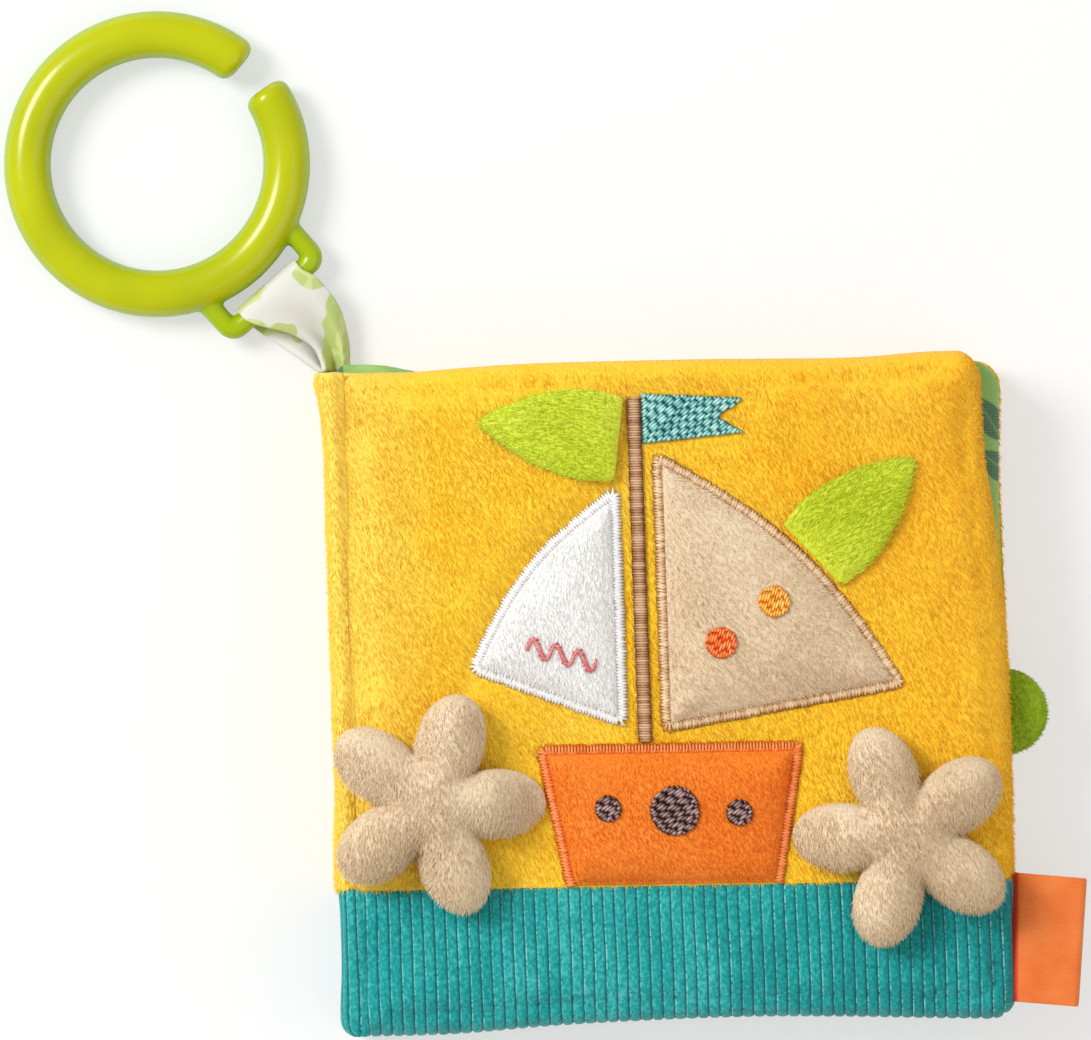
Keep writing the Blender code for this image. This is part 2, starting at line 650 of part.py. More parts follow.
def clip_ring(middle, body, finish):
    """One moulding: an open ring with a mouth, and a square bail that the ribbon goes round."""
    level = RING_THICKNESS / 2
    radius = (RING_DIAMETER - RING_THICKNESS) / 2
    half_mouth = math.asin(RING_MOUTH / 2 / radius)
    rounding = RING_END_ROUND / radius
    sweep = 2 * math.pi - 2 * half_mouth
    marks = [(rounding * share, size) for share, size in RING_END_SHARES]
    steps = list(marks)
    plain = [rounding + (sweep - 2 * rounding) * k / RING_STEPS for k in range(1, RING_STEPS)]
    steps += [(share, 1) for share in plain]
    steps += [(sweep - share, size) for share, size in reversed(marks)]
    path, scales = [], []
    for share, size in steps:
        point = turned(middle, RING_MOUTH_TURN + half_mouth + share, radius)
        path.append((point.x, point.y, level))
        scales.append(size)
    bm = swept(path, round_section(RING_THICKNESS / 2, RING_SIDES), scales=scales)
    ring = finished("clip_ring", bm, finish, body, askew=False)

    bar = BAIL_REACH - BAIL_THICKNESS / 2
    half = BAIL_SPAN / 2
    inner = math.sqrt(radius ** 2 - half ** 2)
    route = [(inner, -half)]
    for side in (-1, 1):
        for step in range(CORNER_STEPS + 1):
            turn = math.radians(90) * step / CORNER_STEPS
            turn = turn if side < 0 else math.radians(90) - turn
            route.append((
                bar - BAIL_CORNER + BAIL_CORNER * math.sin(turn),
                side * (half - BAIL_CORNER + BAIL_CORNER * math.cos(turn)),
            ))
    route.append((inner, half))
    path = []
    for out, side in route:
        point = turned(middle, BAIL_TURN, out, side)
        path.append((point.x, point.y, level))
    bm = swept(path, round_section(BAIL_THICKNESS / 2, BAIL_SIDES))
    bail = finished("bail_tool", bm, finish, body, askew=False)
    bail.hide_render = True
    bail.display_type = "WIRE"
    join = ring.modifiers.new("Bail", "BOOLEAN")
    join.operation = "UNION"
    join.object = bail
    return turned(middle, BAIL_TURN, bar)


def ribbon_loop(root, bar, body, finish):
    """A ribbon out of the seam, round the bail's bar and back, drawn in at the seam."""
    level = RING_THICKNESS / 2
    turn = BAIL_TURN + math.radians(90)
    bar_way = Vector((math.cos(turn), math.sin(turn), 0))
    wrap = BAIL_THICKNESS / 2 + SEAM_GAP + RIBBON_THICKNESS / 2
    centre = Vector((bar.x, bar.y, level))
    out = Vector((bar_way.y, -bar_way.x, 0))
    up = Vector((0, 0, 1))
    stations = []
    for side in (1, -1):
        end = Vector(root) + up * (side * RIBBON_ROOT_SPLIT / 2)
        edge = centre + up * (side * wrap)
        run = []
        for step in range(RIBBON_RUN_STEPS):
            share = step / RIBBON_RUN_STEPS
            ease = share * share * (3 - 2 * share)
            point = end + (edge - end) * share
            point.z = end.z + (edge.z - end.z) * ease
            widening = math.sin(math.pi / 2 * share)
            width = RIBBON_ROOT_WIDTH + (RIBBON_WIDTH - RIBBON_ROOT_WIDTH) * widening
            way = Vector((1, 0, 0)).lerp(bar_way, share).normalized()
            run.append((point, width, way))
        if side > 0:
            stations += run
            for step in range(RIBBON_TURN_STEPS + 1):
                angle = math.pi * step / RIBBON_TURN_STEPS
                point = centre - out * (wrap * math.sin(angle)) + up * (wrap * math.cos(angle))
                stations.append((point, RIBBON_WIDTH, bar_way))
        else:
            stations += reversed(run)
    rings = []
    for k, (point, width, way) in enumerate(stations):
        before, after = stations[max(k - 1, 0)][0], stations[min(k + 1, len(stations) - 1)][0]
        normal = (after - before).cross(way).normalized() * (RIBBON_THICKNESS / 2)
        half = way * (width / 2)
        left, right = point - half, point + half
        rings.append([left - normal, right - normal, right + normal, left + normal])
    finished("ribbon_loop", lofted(rings), finish, body, askew=False)


def spine_topstitch(body, finish):
    """The row of stitches beside the spine's fold, as one raised line of thread."""
    inset, height = COVER_EDGE_SHARES[4]
    x = LEAF_LEFT + inset * COVER_THICKNESS
    z = FRONT_SEAM + height * COVER_THICKNESS + SEAM_GAP
    low, high = BAND_TOP + SEAM_GAP, HEAD - CORNER_RADIUS
    count = round((high - low) / STITCH_LENGTH)
    path = [(x, low + (high - low) * k / count, z) for k in range(count + 1)]
    bm = swept(path, thread_section(STITCH_WIDTH, STITCH_WIDTH))
    finished("spine_topstitch", bm, finish, body)


def build():
    clear_scene()
    yellow = material("yellow_plush", (250, 188, 40), 0.9)
    teal = material("teal_corduroy", (22, 150, 140), 0.9)
    beige = material("beige_plush", (192, 164, 122), 0.9)
    white = material("white_plush", (240, 238, 234), 0.9)
    orange = material("orange_plush", (243, 112, 28), 0.9)
    lime = material("lime_plush", (160, 200, 40), 0.9)
    green_print = material("green_print_cotton", (150, 200, 110), 0.85)
    lime_print = material("lime_print_cotton", (196, 220, 120), 0.85)
    wadding = material("wadding", (245, 245, 240), 0.95)
    foil = material("crinkle_foil", (225, 230, 232), 0.35)
    brown_thread = material("brown_thread", (74, 46, 40), 0.5)
    tan_thread = material("tan_thread", (150, 112, 84), 0.5)
    teal_thread = material("teal_thread", (30, 140, 140), 0.5)
    orange_thread = material("orange_thread", (240, 96, 26), 0.5)
    yellow_thread = material("yellow_thread", (246, 164, 40), 0.5)
    coral_thread = material("coral_thread", (228, 92, 84), 0.5)
    label_tape = material("orange_tape", (238, 92, 24), 0.6)
    ribbon = material("printed_satin", (236, 238, 220), 0.4)
    plastic = material("lime_plastic", (178, 210, 10), 0.25)

    root = pivot("back_cover", (0, 0, 0))
    back_hinge = pivot("spine_hinge", (SPINE_FACE, 0, 0), root)
    front_hinge = pivot("front_cover_hinge", (SPINE_FACE, 0, STACK_HEIGHT), back_hinge)

    cloths = {
        "plush": yellow, "corduroy": teal, "lining": green_print, "wadding": wadding, "foil": foil,
    }
    back = Panel(LEAF_LEFT, FREE_EDGE + BACK_OVERHANG, FOOT, HEAD, BACK_LEAN)
    cover("back_cover", back, COVER_THICKNESS, -1, root, cloths)
    spine(back_hinge, cloths)
    front = Panel(LEAF_LEFT, FREE_EDGE, FOOT, HEAD, 0)
    cover("front_cover", front, FRONT_SEAM, 1, front_hinge, cloths)
    spine_topstitch(front_hinge, yellow_thread)

    sheet = Panel(LEAF_LEFT, FREE_EDGE, FOOT + PAGE_RISE, HEAD + PAGE_RISE, PAGE_LEAN)
    prints = {
        "front": green_print, "back": lime_print, "seam": green_print, "wadding": wadding, "foil": foil,
    }
    for number in range(PAGE_COUNT):
        middle = FRONT_SEAM - LEAF_GAP - PAGE_THICKNESS / 2 - number * (PAGE_THICKNESS + LEAF_GAP)
        at = (LEAF_LEFT + HEM_THICKNESS / 2, 0, middle)
        hinge = pivot(f"page_{number + 1}_hinge", at, back_hinge)
        page(f"page_{number + 1}", sheet, middle, hinge, prints)
        if number == 0:
            page_tab(sheet, middle, hinge, lime)

    threads = {
        "hull": orange, "mainsail": beige, "jib": white, "mast": tan_thread, "pennant": teal_thread,
        "porthole": brown_thread, "orange_spot": orange_thread, "yellow_spot": yellow_thread,
        "wave": coral_thread,
    }
    hull, mainsail = picture(front_hinge, threads)

    reach = BORDER_WIDTH / 2 + SEAM_GAP
    for side, (foot, deck) in ((-1, (hull[0], hull[3])), (1, (hull[1], hull[2]))):
        height = STAR_HEIGHT_SHARES[side] * PICTURE_HEIGHT / 2
        share = (height - foot.y) / (deck.y - foot.y)
        edge = foot.x + (deck.x - foot.x) * share
        tip = Vector((edge + side * reach, height))
        name = "left_starfish_hinge" if side < 0 else "right_starfish_hinge"
        hinge = pivot(name, dropped((tip.x, tip.y, PICTURE_BASE + STAR_SEWN_HEIGHT)), front_hinge)
        starfish(side, tip, hinge, {"beige": beige, "wadding": wadding})

    foot, head = (picture_point(share) for share in MAST_SHARES)
    beside = Vector((MAST_WIDTH / 2 + SEAM_GAP + FLAP_THICKNESS / 2, 0))
    root_point = foot.lerp(head, MAST_FLAP_SHARE) - beside
    lift = PICTURE_BASE + FLAP_THICKNESS / 2
    hinge = pivot("mast_flap_hinge", dropped((root_point.x, root_point.y, lift)), front_hinge)
    flap("mast_flap", root_point, MAST_FLAP_TURN, hinge, lime)
    leech = mainsail[1:1 + SAIL_STEPS + 1]
    along = LEECH_FLAP_SHARE * SAIL_STEPS
    step = int(along)
    on_edge = leech[step].lerp(leech[step + 1], along - step)
    outward = Vector((math.cos(LEECH_FLAP_TURN), math.sin(LEECH_FLAP_TURN)))
    root_point = on_edge + outward * (reach + SEAM_GAP)
    hinge = pivot("leech_flap_hinge", dropped((root_point.x, root_point.y, lift)), front_hinge)
    flap("leech_flap", root_point, LEECH_FLAP_TURN, hinge, lime)

    label_at = Vector((
        FREE_EDGE + SEAM_GAP + LABEL_THICKNESS / 2,
        FOOT + LABEL_FOOT + LABEL_HEIGHT / 2,
        FRONT_SEAM + COVER_THICKNESS / 2,
    ))
    label(label_at, pivot("label_hinge", dropped(label_at), front_hinge), label_tape)

    top = HEAD + EDGE_DROP / 2
    ring_middle = Vector((SPINE_FACE - RING_LEFT, top + RING_ABOVE))
    bar = turned(ring_middle, BAIL_TURN, BAIL_REACH - BAIL_THICKNESS / 2)
    ribbon_root = Vector((SPINE_FACE + RIBBON_ROOT_WIDTH / 2, top + SEAM_GAP, COVER_THICKNESS / 2))
    ribbon_hinge = pivot("ribbon_hinge", ribbon_root, root)
    ribbon_loop(ribbon_root, bar, ribbon_hinge, ribbon)
    ring_hinge = pivot("ring_hinge", (bar.x, bar.y, RING_THICKNESS / 2), ribbon_hinge)
    clip_ring(ring_middle, ring_hinge, plastic)
    for thing in bpy.data.objects:
        if thing.type == "EMPTY":
            print(thing.name, "stands at", [round(value, 5) for value in thing["stands_at"]])


build()
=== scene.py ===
"""The looks of a padded crinkle cloth book for a baby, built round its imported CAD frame.

The book lies closed on its back cover: X runs from the spine to the free edge, Y to the top edge, Z up.
"""
import math

import bmesh
import bpy
import numpy as np
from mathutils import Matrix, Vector, geometry, kdtree, noise


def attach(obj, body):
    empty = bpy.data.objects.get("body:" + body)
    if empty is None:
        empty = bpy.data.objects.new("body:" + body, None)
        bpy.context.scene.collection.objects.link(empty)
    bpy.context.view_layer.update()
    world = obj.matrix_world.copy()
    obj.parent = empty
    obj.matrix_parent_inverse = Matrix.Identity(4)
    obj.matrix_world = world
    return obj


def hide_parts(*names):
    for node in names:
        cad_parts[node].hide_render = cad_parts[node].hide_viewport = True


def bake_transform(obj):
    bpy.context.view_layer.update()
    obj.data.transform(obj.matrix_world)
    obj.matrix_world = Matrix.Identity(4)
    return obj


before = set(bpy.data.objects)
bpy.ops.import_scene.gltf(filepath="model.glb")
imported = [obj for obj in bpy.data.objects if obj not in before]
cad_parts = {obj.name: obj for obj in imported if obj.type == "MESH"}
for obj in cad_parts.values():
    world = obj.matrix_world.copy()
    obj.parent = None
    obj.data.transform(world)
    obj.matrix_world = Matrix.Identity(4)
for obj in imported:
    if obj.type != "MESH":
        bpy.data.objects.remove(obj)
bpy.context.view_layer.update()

# The view and the table. The book is seen straight down from far off, turned a little, on a plain
# pale table under one broad soft lamp at the top left and a weaker one at the right.
MM = 0.001
VIEW_MIDDLE = (-21.7 * MM, 35 * MM)
VIEW_WIDTH = 211.9 * MM
VIEW_DISTANCE = 2.4
VIEW_TURN = math.radians(-2)
COVER_LEVEL = 24.5 * MM
SENSOR = 36.0

lens = bpy.data.cameras.new("view")
lens.sensor_width = SENSOR
lens.lens = SENSOR * VIEW_DISTANCE / VIEW_WIDTH
lens.clip_end = 10
view = bpy.data.objects.new("view", lens)
view.location = (*VIEW_MIDDLE, COVER_LEVEL + VIEW_DISTANCE)
view.rotation_euler = (0, 0, VIEW_TURN)
bpy.context.collection.objects.link(view)
bpy.context.scene.camera = view
bpy.context.scene.view_settings.view_transform = "Standard"

for lamp_name, place, size, power in (
    ("window", (-1.0, 0.6, 1.15), 0.6, 17.5),
    ("card", (0.9, -0.5, 1.1), 1.2, 3.0),
):
    glow = bpy.data.lights.new(lamp_name, "AREA")
    glow.size = size
    glow.energy = power
    lamp = bpy.data.objects.new(lamp_name, glow)
    lamp.location = place
    lamp.rotation_euler = (-Vector(place)).to_track_quat("-Z", "Y").to_euler()
    bpy.context.collection.objects.link(lamp)


def dyed(red, green, blue):
    """A colour written as 0 to 255, as a shader wants it."""
    def linear(value):
        share = value / 255
        return share / 12.92 if share <= 0.04045 else ((share + 0.055) / 1.055) ** 2.4
    return (linear(red), linear(green), linear(blue), 1.0)


class Amount:
    """A number that varies over a finish. Sums on it become Math nodes of that finish."""

    def __init__(self, finish, socket):
        self.finish, self.socket = finish, socket

    def sum(self, operation, *terms, clamp=False):
        settings = {"operation": operation, "use_clamp": clamp}
        return self.finish.node("ShaderNodeMath", settings, dict(enumerate(terms)))

    def __add__(self, other):
        return self.sum("ADD", self, other)

    def __sub__(self, other):
        return self.sum("SUBTRACT", self, other)

    def __rsub__(self, other):
        return self.sum("SUBTRACT", other, self)

    def __mul__(self, other):
        return self.sum("MULTIPLY", self, other)

    def __truediv__(self, other):
        return self.sum("DIVIDE", self, other)

    __radd__ = __add__
    __rmul__ = __mul__

    def clipped(self):
        return self.sum("ADD", self, 0, clamp=True)

    def folded(self, every):
        """Runs from 0 to 1 and back over each stretch of that length."""
        return self.sum("PINGPONG", self, every / 2) * (2 / every)

    def above(self, level, softness):
        """0 below a level, 1 above it, over a soft edge."""
        return ((self - level) / softness + 0.5).clipped()


class Recipe:
    """A node tree, and the one way in which its nodes are made."""

    def node(self, kind, settings=None, sockets=None, output=0):
        made = self.tree.nodes.new(kind)
        for key, value in (settings or {}).items():
            if key == "stops":
                while len(made.color_ramp.elements) < len(value):
                    made.color_ramp.elements.new(1)
                for stop, (position, colour) in zip(made.color_ramp.elements, value):
                    stop.position, stop.color = position, colour
            else:
                setattr(made, key, value)
        for key, value in (sockets or {}).items():
            if isinstance(value, Amount):
                self.tree.links.new(value.socket, made.inputs[key])
            else:
                made.inputs[key].default_value = value
        return None if output is None else Amount(self, made.outputs[output])

    def vectors(self, operation, *terms, output=0):
        return self.node("ShaderNodeVectorMath", {"operation": operation}, dict(enumerate(terms)), output)

    def part(self, vector, axis):
        """A vector's X, Y or Z."""
        return self.node("ShaderNodeSeparateXYZ", None, {0: vector}, output="XYZ".index(axis))


class Finish(Recipe):
    """A cloth, thread or plastic: a Principled material and the nodes that vary it."""

    def __init__(self, name, roughness, **constants):
        self.material = bpy.data.materials.new(name)
        self.material.use_nodes = True
        self.tree = self.material.node_tree
        self.shader = self.tree.nodes["Principled BSDF"]
        self.shader.inputs["Roughness"].default_value = roughness
        for socket, value in constants.items():
            self.shader.inputs[socket.replace("_", " ")].default_value = value
        self.place = self.node("ShaderNodeTexCoord", output="Object")

    def noise(self, stretch, detail=2.0, turn=(0, 0, 0), roughness=0.5):
        """Cloudy noise. Stretch is how many clouds there are in a metre along X, Y and Z."""
        mapped = self.node("ShaderNodeMapping", None, {
            "Vector": self.place, "Rotation": turn, "Scale": stretch,
        })
        return self.node("ShaderNodeTexNoise", None, {
            "Vector": mapped, "Scale": 1.0, "Detail": detail, "Roughness": roughness,
        })

    def along(self, axis):
        """Metres along X, Y or Z."""
        return self.part(self.place, axis)

    def marked(self, name):
        """A number that the mesh keeps for each point."""
        return self.node("ShaderNodeAttribute", {"attribute_name": name}, output="Fac")

    def shades(self, amount, *stops):
        return self.node("ShaderNodeValToRGB", {"stops": stops}, {0: amount})

    def mixed(self, amount, one, other, how="MIX"):
        made = self.node("ShaderNodeMix", {"data_type": "RGBA", "blend_type": how}, {
            0: amount, 6: one, 7: other,
        })
        return Amount(self, made.socket.node.outputs[2])

    def coloured(self, colour):
        self.tree.links.new(colour.socket, self.shader.inputs["Base Color"])

    def raised(self, height, distance, strength=1.0):
        """Bump: height runs from 0 to 1 over a distance in metres."""
        made = self.node("ShaderNodeBump", None, {
            "Height": height, "Distance": distance, "Strength": strength,
        })
        self.tree.links.new(made.socket, self.shader.inputs["Normal"])

    def rough(self, amount):
        self.tree.links.new(amount.socket, self.shader.inputs["Roughness"])


# The sky round it all: white where the camera sees it, and dimmer for what shines than for what is
# matt, as in a studio whose walls are grey. The table under the book is plain and nearly white.
sky = bpy.data.worlds.new("sky")
bpy.context.scene.world = sky
sky.use_nodes = True
sky.node_tree.nodes.clear()
air = Recipe()
air.tree = sky.node_tree
seen = air.node("ShaderNodeLightPath", output="Is Camera Ray")
through = air.node("ShaderNodeLightPath", output="Is Transmission Ray")
shining = air.node("ShaderNodeLightPath", output="Is Glossy Ray")
seen_sky = air.node("ShaderNodeBackground", None, {"Color": (1, 1, 1, 1)})
lit_sky = air.node("ShaderNodeBackground", None, {
    "Color": (1, 0.985, 0.96, 1), "Strength": 0.57 - shining * 0.38,
})
both_skies = air.node("ShaderNodeMixShader", None, {
    0: seen.sum("MAXIMUM", seen, through), 1: lit_sky, 2: seen_sky,
})
air.node("ShaderNodeOutputWorld", None, {0: both_skies}, output=None)

TABLE_HALF = 3.0
table_finish = Finish("table_white", 0.9, Specular_IOR_Level=0.1)
table_cloud = table_finish.noise((3, 3, 3))
table_finish.coloured(
    table_finish.shades(table_cloud, (0, dyed(243, 243, 243)), (1, dyed(250, 250, 250))))
table_glow = table_finish.node("ShaderNodeEmission", None, {"Color": (1, 1, 1, 1), "Strength": 1.0})
table_ray = table_finish.node("ShaderNodeLightPath", output="Is Camera Ray")
table_mix = table_finish.node("ShaderNodeMixShader", None, {0: table_ray * 0.5, 2: table_glow})
table_finish.tree.links.new(table_finish.shader.outputs[0], table_mix.socket.node.inputs[1])
table_out = next(n for n in table_finish.tree.nodes if n.type == "OUTPUT_MATERIAL")
table_finish.tree.links.new(table_mix.socket, table_out.inputs["Surface"])
table_mesh = bpy.data.meshes.new("table")
table_corners = np.array(((-1, -1, 0), (1, -1, 0), (1, 1, 0), (-1, 1, 0))) * TABLE_HALF
table_mesh.from_pydata(table_corners.tolist(), [], [(0, 1, 2, 3)])
table_mesh.materials.append(table_finish.material)
table = bpy.data.objects.new("table", table_mesh)
bpy.context.collection.objects.link(table)

# The yellow pad of the front cover. Short-piled polyester plush is sewn over wadding to the lining at
# its edges, and held down all round the sewn-on picture, so it stands a little fuller between.
BOOK_WIDTH = 130 * MM
BOOK_HEIGHT = 128.6 * MM
EDGE_DROP = 2.2 * MM
LEAF_LEFT = -61.2 * MM
FREE_EDGE = BOOK_WIDTH / 2
FOOT, HEAD = -BOOK_HEIGHT / 2, BOOK_HEIGHT / 2
BAND_TOP = -36.3 * MM
SEAM_LEVEL = 18.2 * MM  # the front cover's seam
PAD_HEIGHT = COVER_LEVEL - SEAM_LEVEL


def plush(name, deep, mid, pale, nap=(2100, 900, 1400), turn=(0, 0, 0), painted_light=None):
    """Short shiny pile, darker where it parts and paler where it catches the light.

    The last argument may take the finish and its colour, and give that colour with painted light and
    shade laid over it.
    """
    cloth = Finish(name, 0.8, Sheen_Weight=0.12, Sheen_Roughness=0.45, Specular_IOR_Level=0.12)
    lie = cloth.noise((48, 40, 60), 2.5)
    tufts = cloth.noise(nap, 3.0, turn)
    hairs = cloth.noise(tuple(2.6 * size for size in nap), 2.0, turn)
    tone = lie * 0.55 + tufts * 0.75 + hairs * 0.45 - 0.38
    colour = cloth.shades(tone, (0.22, dyed(*deep)), (0.48, dyed(*mid)), (0.78, dyed(*pale)))
    cloth.coloured(painted_light(cloth, colour) if painted_light else colour)
    cloth.raised(tufts * 0.7 + hairs * 0.3, 0.6 * MM, 0.7)
    return cloth.material


def paint_light_and_shade(cloth, colour):
    """Painted light and shade: paler beside the spine, as painted light, and a little deeper towards the
    top right, as painted shade.
    """
    beside = ((-42 * MM - cloth.along("X")) / (22 * MM)).clipped()
    far = ((cloth.along("X") + cloth.along("Y") * 0.6 - 8 * MM) / (80 * MM)).clipped()
    # painted light: a pale wash beside the spine; painted shade: a deeper tone towards the top right
    colour = cloth.mixed(beside * 0.7, colour, dyed(255, 228, 110))
    return cloth.mixed(far * 0.4, colour, dyed(252, 186, 46))


yellow_plush = plush("yellow_plush", (252, 190, 26), (255, 214, 54), (255, 226, 90), painted_light=paint_light_and_shade)


def askew(points):
    """The whole book is a little askew: its free edge sits lower than its spine."""
    moved = np.array(points, float)
    moved[:, 1] -= EDGE_DROP * moved[:, 0] / BOOK_WIDTH
    return moved


def straightened(points):
    """The same points as they would lie if the book weren't askew."""
    moved = np.array(points, float)
    moved[:, 1] += EDGE_DROP * moved[:, 0] / BOOK_WIDTH
    return moved


def rounded_path(points, every):
    """A smooth line through points in a plane, in even steps."""
    points = np.array(points)
    before = np.concatenate([[2 * points[0] - points[1]], points, [2 * points[-1] - points[-2]]])
    fine = []
    for k in range(1, len(before) - 2):
        a, b, c, d = before[k - 1:k + 3]
        for t in np.arange(0, 1, 0.02):
            fine.append(0.5 * (2 * b + (c - a) * t + (2 * a - 5 * b + 4 * c - d) * t ** 2
                               + (3 * b - a - 3 * c + d) * t ** 3))
    fine = np.array(fine + [before[-2]])
    runs = np.concatenate([[0], np.cumsum(np.linalg.norm(np.diff(fine, axis=0), axis=1))])
    count = max(2, round(runs[-1] / every))
    even = np.linspace(0, runs[-1], count + 1)
    return np.stack([np.interp(even, runs, fine[:, k]) for k in range(fine.shape[1])], axis=1), even


# How far up the foot, the front cover's head and its free edge lie from a straight line, as pairs of
# a place along the edge and a rise, in millimetres. The free edge's rise is towards the right.
FOOT_WAVE = (
    (-68, -0.5), (-50, -0.5), (-40, -0.2), (-22, 1.0), (-3, 1.7), (15, 2.0), (33, 1.7), (51, 1.1),
    (70, 0.5),
)
HEAD_WAVE = (
    (-68, -0.2), (-48, -0.4), (-36, 0.3), (-21, 0.9), (10, 1.1), (38, 0.9), (54, 1.8), (70, 1.8),
)
FREE_WAVE = (
    (-70, 0.0), (-53, 0.1), (-32, 0.7), (-17, 0.9), (1, 0.9), (10, 0.8), (18, 0.4), (27, -0.4),
    (36, -1.2), (44, -2.1), (50, -2.6), (70, -2.8),
)


def wave_at(wave, places):
    """How far an edge lies out at each place along it."""
    line, _ = rounded_path(wave, 1.0)
    return np.interp(places / MM, *line.T) * MM


def waved(points, foot=FOOT_WAVE, head=None, free_edge=None, reach=14 * MM):
    """Moves an outline's points by the waves of its edges, and less the further they are from each."""
    x, y = points.T.copy()
    for wave, axis, places, gap in (
        (foot, 1, x, y - y.min()), (head, 1, x, y.max() - y), (free_edge, 0, y, x.max() - x),
    ):
        if wave:
            points[:, axis] += wave_at(wave, places) * np.clip(1 - gap / reach, 0, 1)
    return points


def leaf_outline(
    left, right, bottom, top, lean=0.0, free=5 * MM, fold=1.5 * MM, pull=(0.7, 0.7, 0.7, 0),
    every=1.5 * MM, **waves,
):
    """The seam round a cover or a page: corners rounded, sides drawn in between them. Anticlockwise.

    Pull is how far the free edge, head, spine side and foot are drawn in, in millimetres.
    """
    corners = (
        (right - free, bottom + free, free, -90), (right - free, top - free, free, 0),
        (left + fold, top - fold, fold, 90), (left + fold, bottom + fold, fold, 180),
    )
    drawn = ((-1, 0), (0, -1), (1, 0), (0, 1))
    points = []
    for k, (x, y, radius, start) in enumerate(corners):
        steps = max(4, round(math.pi / 2 * radius / every) + 2)
        for step in range(steps + 1):
            angle = math.radians(start + 90 * step / steps)
            points.append((x + radius * math.cos(angle), y + radius * math.sin(angle)))
        here = np.array(points[-1])
        x, y, radius, start = corners[(k + 1) % 4]
        angle = math.radians(start)
        there = np.array((x + radius * math.cos(angle), y + radius * math.sin(angle)))
        count = max(2, round(np.linalg.norm(there - here) / every))
        for step in range(1, count):
            share = step / count
            point = here + (there - here) * share
            points.append(tuple(point + np.array(drawn[k]) * pull[k] * MM * math.sin(math.pi * share)))
    points = np.array(points)
    leaning = lean * (points[:, 1] - bottom) / (top - bottom)
    points[:, 0] += leaning * (points[:, 0] - left) / (right - left)
    return waved(points, **waves)


def from_seam(points, outline):
    """How far inside the outline each point is. It is negative outside."""
    start, end = outline, np.roll(outline, -1, axis=0)
    run = end - start
    found = []
    for part in np.array_split(points, max(1, len(points) // 2000)):
        gap = part[:, None] - start[None]
        share = np.clip((gap * run).sum(-1) / (run * run).sum(-1), 0, 1)
        near = np.linalg.norm(gap - share[..., None] * run, axis=-1).min(1)
        x, y = part[:, :1], part[:, 1:]
        spans = (start[:, 1] > y) != (end[:, 1] > y)
        rise = np.where(np.abs(run[:, 1]) < 1e-12, 1e-12, run[:, 1])
        beyond = x < start[:, 0] + run[:, 0] * (y - start[:, 1]) / rise
        inside = (spans & beyond).sum(1) % 2 == 1
        found.append(np.where(inside, near, -near))
    return np.concatenate(found)


def inside_by(x, y, outline):
    """How far inside the outline each place is, and 0 outside it."""
    return np.maximum(from_seam(np.stack((x, y), axis=1), outline), 0)


def inset(outline, distance):
    """Each point of an anticlockwise outline, moved inwards."""
    before, after = np.roll(outline, 1, axis=0), np.roll(outline, -1, axis=0)
    way = after - before
    way /= np.linalg.norm(way, axis=1)[:, None]
    return outline + np.stack((-way[:, 1], way[:, 0]), axis=1) * distance


def roll(depth, radius):
    """The round of a padded edge: 0 at the seam and 1 from a radius inwards."""
    share = np.clip(depth / radius, 0, 1)
    return np.sqrt(1 - (1 - share) ** 2)


def made_object(name, mesh, *finishes):
    made = bpy.data.objects.new(name, mesh)
    for finish in finishes:
        mesh.materials.append(finish)
    bpy.context.collection.objects.link(made)
    return made


def sewn(name, outline, every, edge, top, under, seam, finish, lower=None):
    """Two cloths sewn together round an outline and filled.

    Edge is the width of the rounded rim; top and under give heights from x, y and the distance to
    the seam. The lower cloth may have a finish of its own.
    """
    steps = (0.04, 0.14, 0.3, 0.5, 0.75, 1.0)
    rings = [inset(outline, edge * step) for step in steps]
    rings = [ring[from_seam(ring, outline) > 0.93 * edge * step] for ring, step in zip(rings, steps)]
    low, high = outline.min(0), outline.max(0)
    wide, long = every if isinstance(every, tuple) else (every, every * 0.866)
    rows = np.arange(low[1], high[1], long)
    columns = np.arange(low[0], high[0], wide)
    inner = np.array([(x + (k % 2) * wide / 2, y) for k, y in enumerate(rows) for x in columns])
    inner = inner[from_seam(inner, outline) > edge + 0.6 * wide]
    flat = np.concatenate([outline, *rings, inner])
    count = len(outline)
    loop = [(k, (k + 1) % count) for k in range(count)]
    found = geometry.delaunay_2d_cdt([Vector(p / MM) for p in flat], loop, [], 1, 1e-6)
    flat = np.array([tuple(v) for v in found[0]]) * MM
    faces = [tuple(face) for face in found[2]]
    origins = found[3]
    on_seam = {k for k, came in enumerate(origins) if any(o < count for o in came)}
    depth = np.maximum(from_seam(flat, outline), 0)
    x, y = flat.T
    upper = np.stack((x, y, top(x, y, depth)), axis=1)
    lower_z = np.stack((x, y, under(x, y, depth)), axis=1)
    places, below = list(upper), {}
    for k in range(len(flat)):
        if k in on_seam:
            places[k] = (x[k], y[k], seam(x[k], y[k]) if callable(seam) else seam)
            below[k] = k
        else:
            below[k] = len(places)
            places.append(lower_z[k])
    places = askew(places)
    mesh = bpy.data.meshes.new(name)
    turned = [tuple(below[k] for k in reversed(face)) for face in faces]
    mesh.from_pydata([tuple(p) for p in places], [], faces + turned)
    mesh.validate()
    mesh.shade_smooth()
    made = made_object(name, mesh, finish)
    if lower:
        mesh.materials.append(lower)
        for face in mesh.polygons[len(faces):]:
            face.material_index = 1
    if len(faces) and mesh.polygons[0].normal.z < 0:
        mesh.flip_normals()
    return made


def clouds(x, y, size, seed):
    """Slow waves over a cloth, about -1 to 1."""
    return np.array([noise.noise(Vector((a / size, b / size, seed))) for a, b in zip(x, y)]) * 1.6


def places_of(made):
    """Where each point of a piece is."""
    places = np.empty(len(made.data.vertices) * 3)
    made.data.vertices.foreach_get("co", places)
    return places.reshape(-1, 3)


